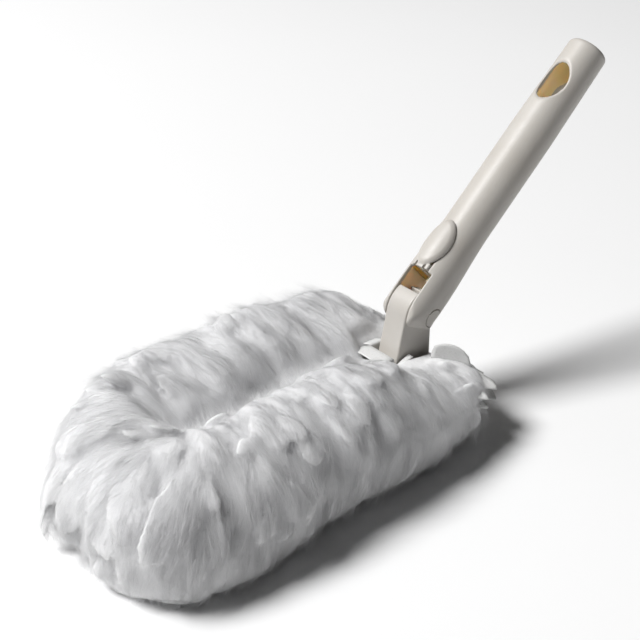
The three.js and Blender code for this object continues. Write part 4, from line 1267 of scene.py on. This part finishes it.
# Nonwoven sheets, laid between the tow and the fork's sleeves
def strip_point(start, share, side, along, bend):
    """A point of one strip, from its root at the panel to its pointed end."""
    middle = start + (STRIP_PITCH - STRIP_SLIT) / 2
    start_taper, run_taper, depth, power = STRIP_TAPER
    narrow = 1 - depth * max(0.0, (along - start_taper) / run_taper) ** power
    length = abs(middle) / HEAD_HALF_LENGTH
    inset = lerp(*STRIP_INSETS, smooth_step(middle, *STRIP_SHOWN))
    reach = side * (lerp(*HEAD_HALF_WIDTHS, math.sqrt(1 - length ** 3)) - inset) + sway(middle)
    fan = STRIP_FAN * max(0.0, middle / HEAD_HALF_LENGTH) ** 4
    x = middle + (share - 0.5) * (STRIP_PITCH - STRIP_SLIT) * narrow + fan * along ** 2
    return x, lerp(side * STRIP_ROOT, reach, along), bend * along ** 2


def grid_faces(rows, columns, start):
    """Quads over a grid of points that are numbered row by row."""
    number = start + np.arange(rows * columns).reshape(rows, columns)
    corners = [number[:-1, :-1], number[:-1, 1:], number[1:, 1:], number[1:, :-1]]
    return np.stack(corners, axis=-1).reshape(-1, 4).tolist()


def strip_grids(draw, height, slot):
    """The grids of a sheet cut into strips along both sides, with a slot for the neck where asked."""
    grids = []
    across = np.linspace(0, 1, 5)
    for start in np.arange(*SHEET_SPAN, STRIP_PITCH):
        for low, high in zip(PANEL_ROWS[:-1], PANEL_ROWS[1:]):
            if slot and start >= NECK_SLOT[0] and max(abs(low), abs(high)) <= NECK_SLOT[1]:
                continue
            columns = [*(start + across * (STRIP_PITCH - STRIP_SLIT)), start + STRIP_PITCH]
            grids.append([[(x, y, height) for x in columns] for y in (low, high)])
        for side in (-1, 1):
            bend = draw.uniform(*STRIP_BEND)
            stations = [[strip_point(start, share, side, along, bend) for share in across[::side]]
                        for along in np.linspace(0, 1, 8)]
            grids.append([[(x, y, height + rise) for x, y, rise in row] for row in stations])
    return grids


def neck_flaps(height):
    """What the sheet's slot leaves round the neck: flaps folded outwards, a narrow tongue, a curled leaf."""
    front, half = NECK_SLOT
    start = front - STRIP_SLIT
    shares = np.linspace(0, 1, 9)
    stand, roundness = FLAP_STAND
    front_reach, flare, shift = FRONT_FLAP
    side_length, slant, side_reach, droop = SIDE_FLAP
    tongue_length, tongue_width, turn, lift = SHEET_TONGUE
    curl, curl_turn = LEAF_CURL
    front_flap, side_flap, tongue, leaf = [], [], [], []
    for v in shares:
        rise = height + FLAP_HEIGHT * min(1.0, v / stand) ** roundness
        fold = float(smooth_step(v, *FLAP_FOLD))
        front_flap.append([
            (start - front_reach * fold, (half + flare * fold) * w + shift * fold, rise - fold * (1 + w ** 2))
            for w in np.linspace(-1, 1, 7)])
        side_flap.append([
            (start + side_length * w - slant * fold, half + side_reach * fold, rise - droop * fold)
            for w in np.linspace(0, 1, 7)])
        tongue.append([
            (start + tongue_length * v, -half - tongue_width * w + turn * v, height + lift * v ** 0.6)
            for w in (1.0, 0.5, 0.0)])
        crest = LEAF_HEIGHT * math.sqrt(max(0.0, 1 - (2 * v - 0.7) ** 2 / 1.69))
        x, y = LEAF_START[0] + LEAF_RUN[0] * v, LEAF_START[1] - LEAF_RUN[1] * v
        leaf.append([
            (x - curl * math.sin(curl_turn * w), y - LEAF_LEAN * w ** 2, height + crest * w)
            for w in shares])
    return [front_flap, side_flap, tongue, leaf]


def sleeve_profile():
    """Heights across the upper sleeve sheet, which arches over the two prongs."""
    across = np.linspace(-SLEEVE_HALF, SLEEVE_HALF, 73)
    off = np.abs(np.abs(across) - SLEEVE_MIDDLE)
    return across, lerp(SLEEVE_ROOF, SLEEVE_SEAM, smooth_step(off, SLEEVE_ROOM, SLEEVE_ROOM + SLEEVE_SLOPE))


def sleeve_grid(across, heights):
    return [[[(x, y, z) for y, z in zip(across, heights)] for x in np.linspace(*SLEEVE_SPAN, 28)]]


def make_sheet(name, grids, node):
    """A thin sheet from grids of points, welded along their shared edges."""
    points, faces = [], []
    for grid in grids:
        faces += grid_faces(len(grid), len(grid[0]), len(points))
        points += [point for row in grid for point in row]
    sheet = new_piece(name, points, faces, [NONWOVEN])
    weld = sheet.modifiers.new("weld", "WELD")
    weld.merge_threshold = 0.02 * MM
    solidify = sheet.modifiers.new("thickness", "SOLIDIFY")
    solidify.thickness = SHEET_THICKNESS * MM
    solidify.offset = 0.0
    finished(sheet)
    settle(sheet, "refill", "nonwoven_sheet", node)


def make_sheets():
    """The four sheets. The slot's own cut stands up as flaps, so both strip sheets have one flat area."""
    draw = np.random.default_rng(SEED)
    upper = strip_grids(draw, UPPER_SHEET_HEIGHT, True) + neck_flaps(UPPER_SHEET_HEIGHT)
    lower = strip_grids(draw, LOWER_SHEET_HEIGHT, False)
    make_sheet("upper_strips", upper, "upper_strip_sheet")
    make_sheet("lower_strips", lower, "lower_strip_sheet")
    across, heights = sleeve_profile()
    make_sheet("sleeve_top", sleeve_grid(across, heights), "sleeve_top_sheet")
    flat = np.full(len(across), SLEEVE_BOTTOM)
    make_sheet("sleeve_bottom", sleeve_grid(across, flat), "sleeve_bottom_sheet")


def make_spring():
    share = np.linspace(0, 1, SPRING_TURNS * SPRING_STEPS + 1)
    turn = 2 * math.pi * SPRING_TURNS * share
    outwards = np.stack([0 * share, np.cos(turn), np.sin(turn)], axis=-1)
    path = SPRING_RADIUS * outwards
    path[:, 0] = lerp(*SPRING_SPAN, share)
    half = np.full((1, len(share)), SPRING_WIRE / 2)
    points, faces = tubes(path[None], outwards[None], half, half)
    spring = new_piece("coil_spring", from_grip(points), faces, [STEEL])
    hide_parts("slider_spring")
    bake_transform(spring)


make_studio()
make_grip()
make_pin_and_ring()
make_button()
make_neck()
make_inner_plastic()
make_spring()
make_refill()
make_sheets()
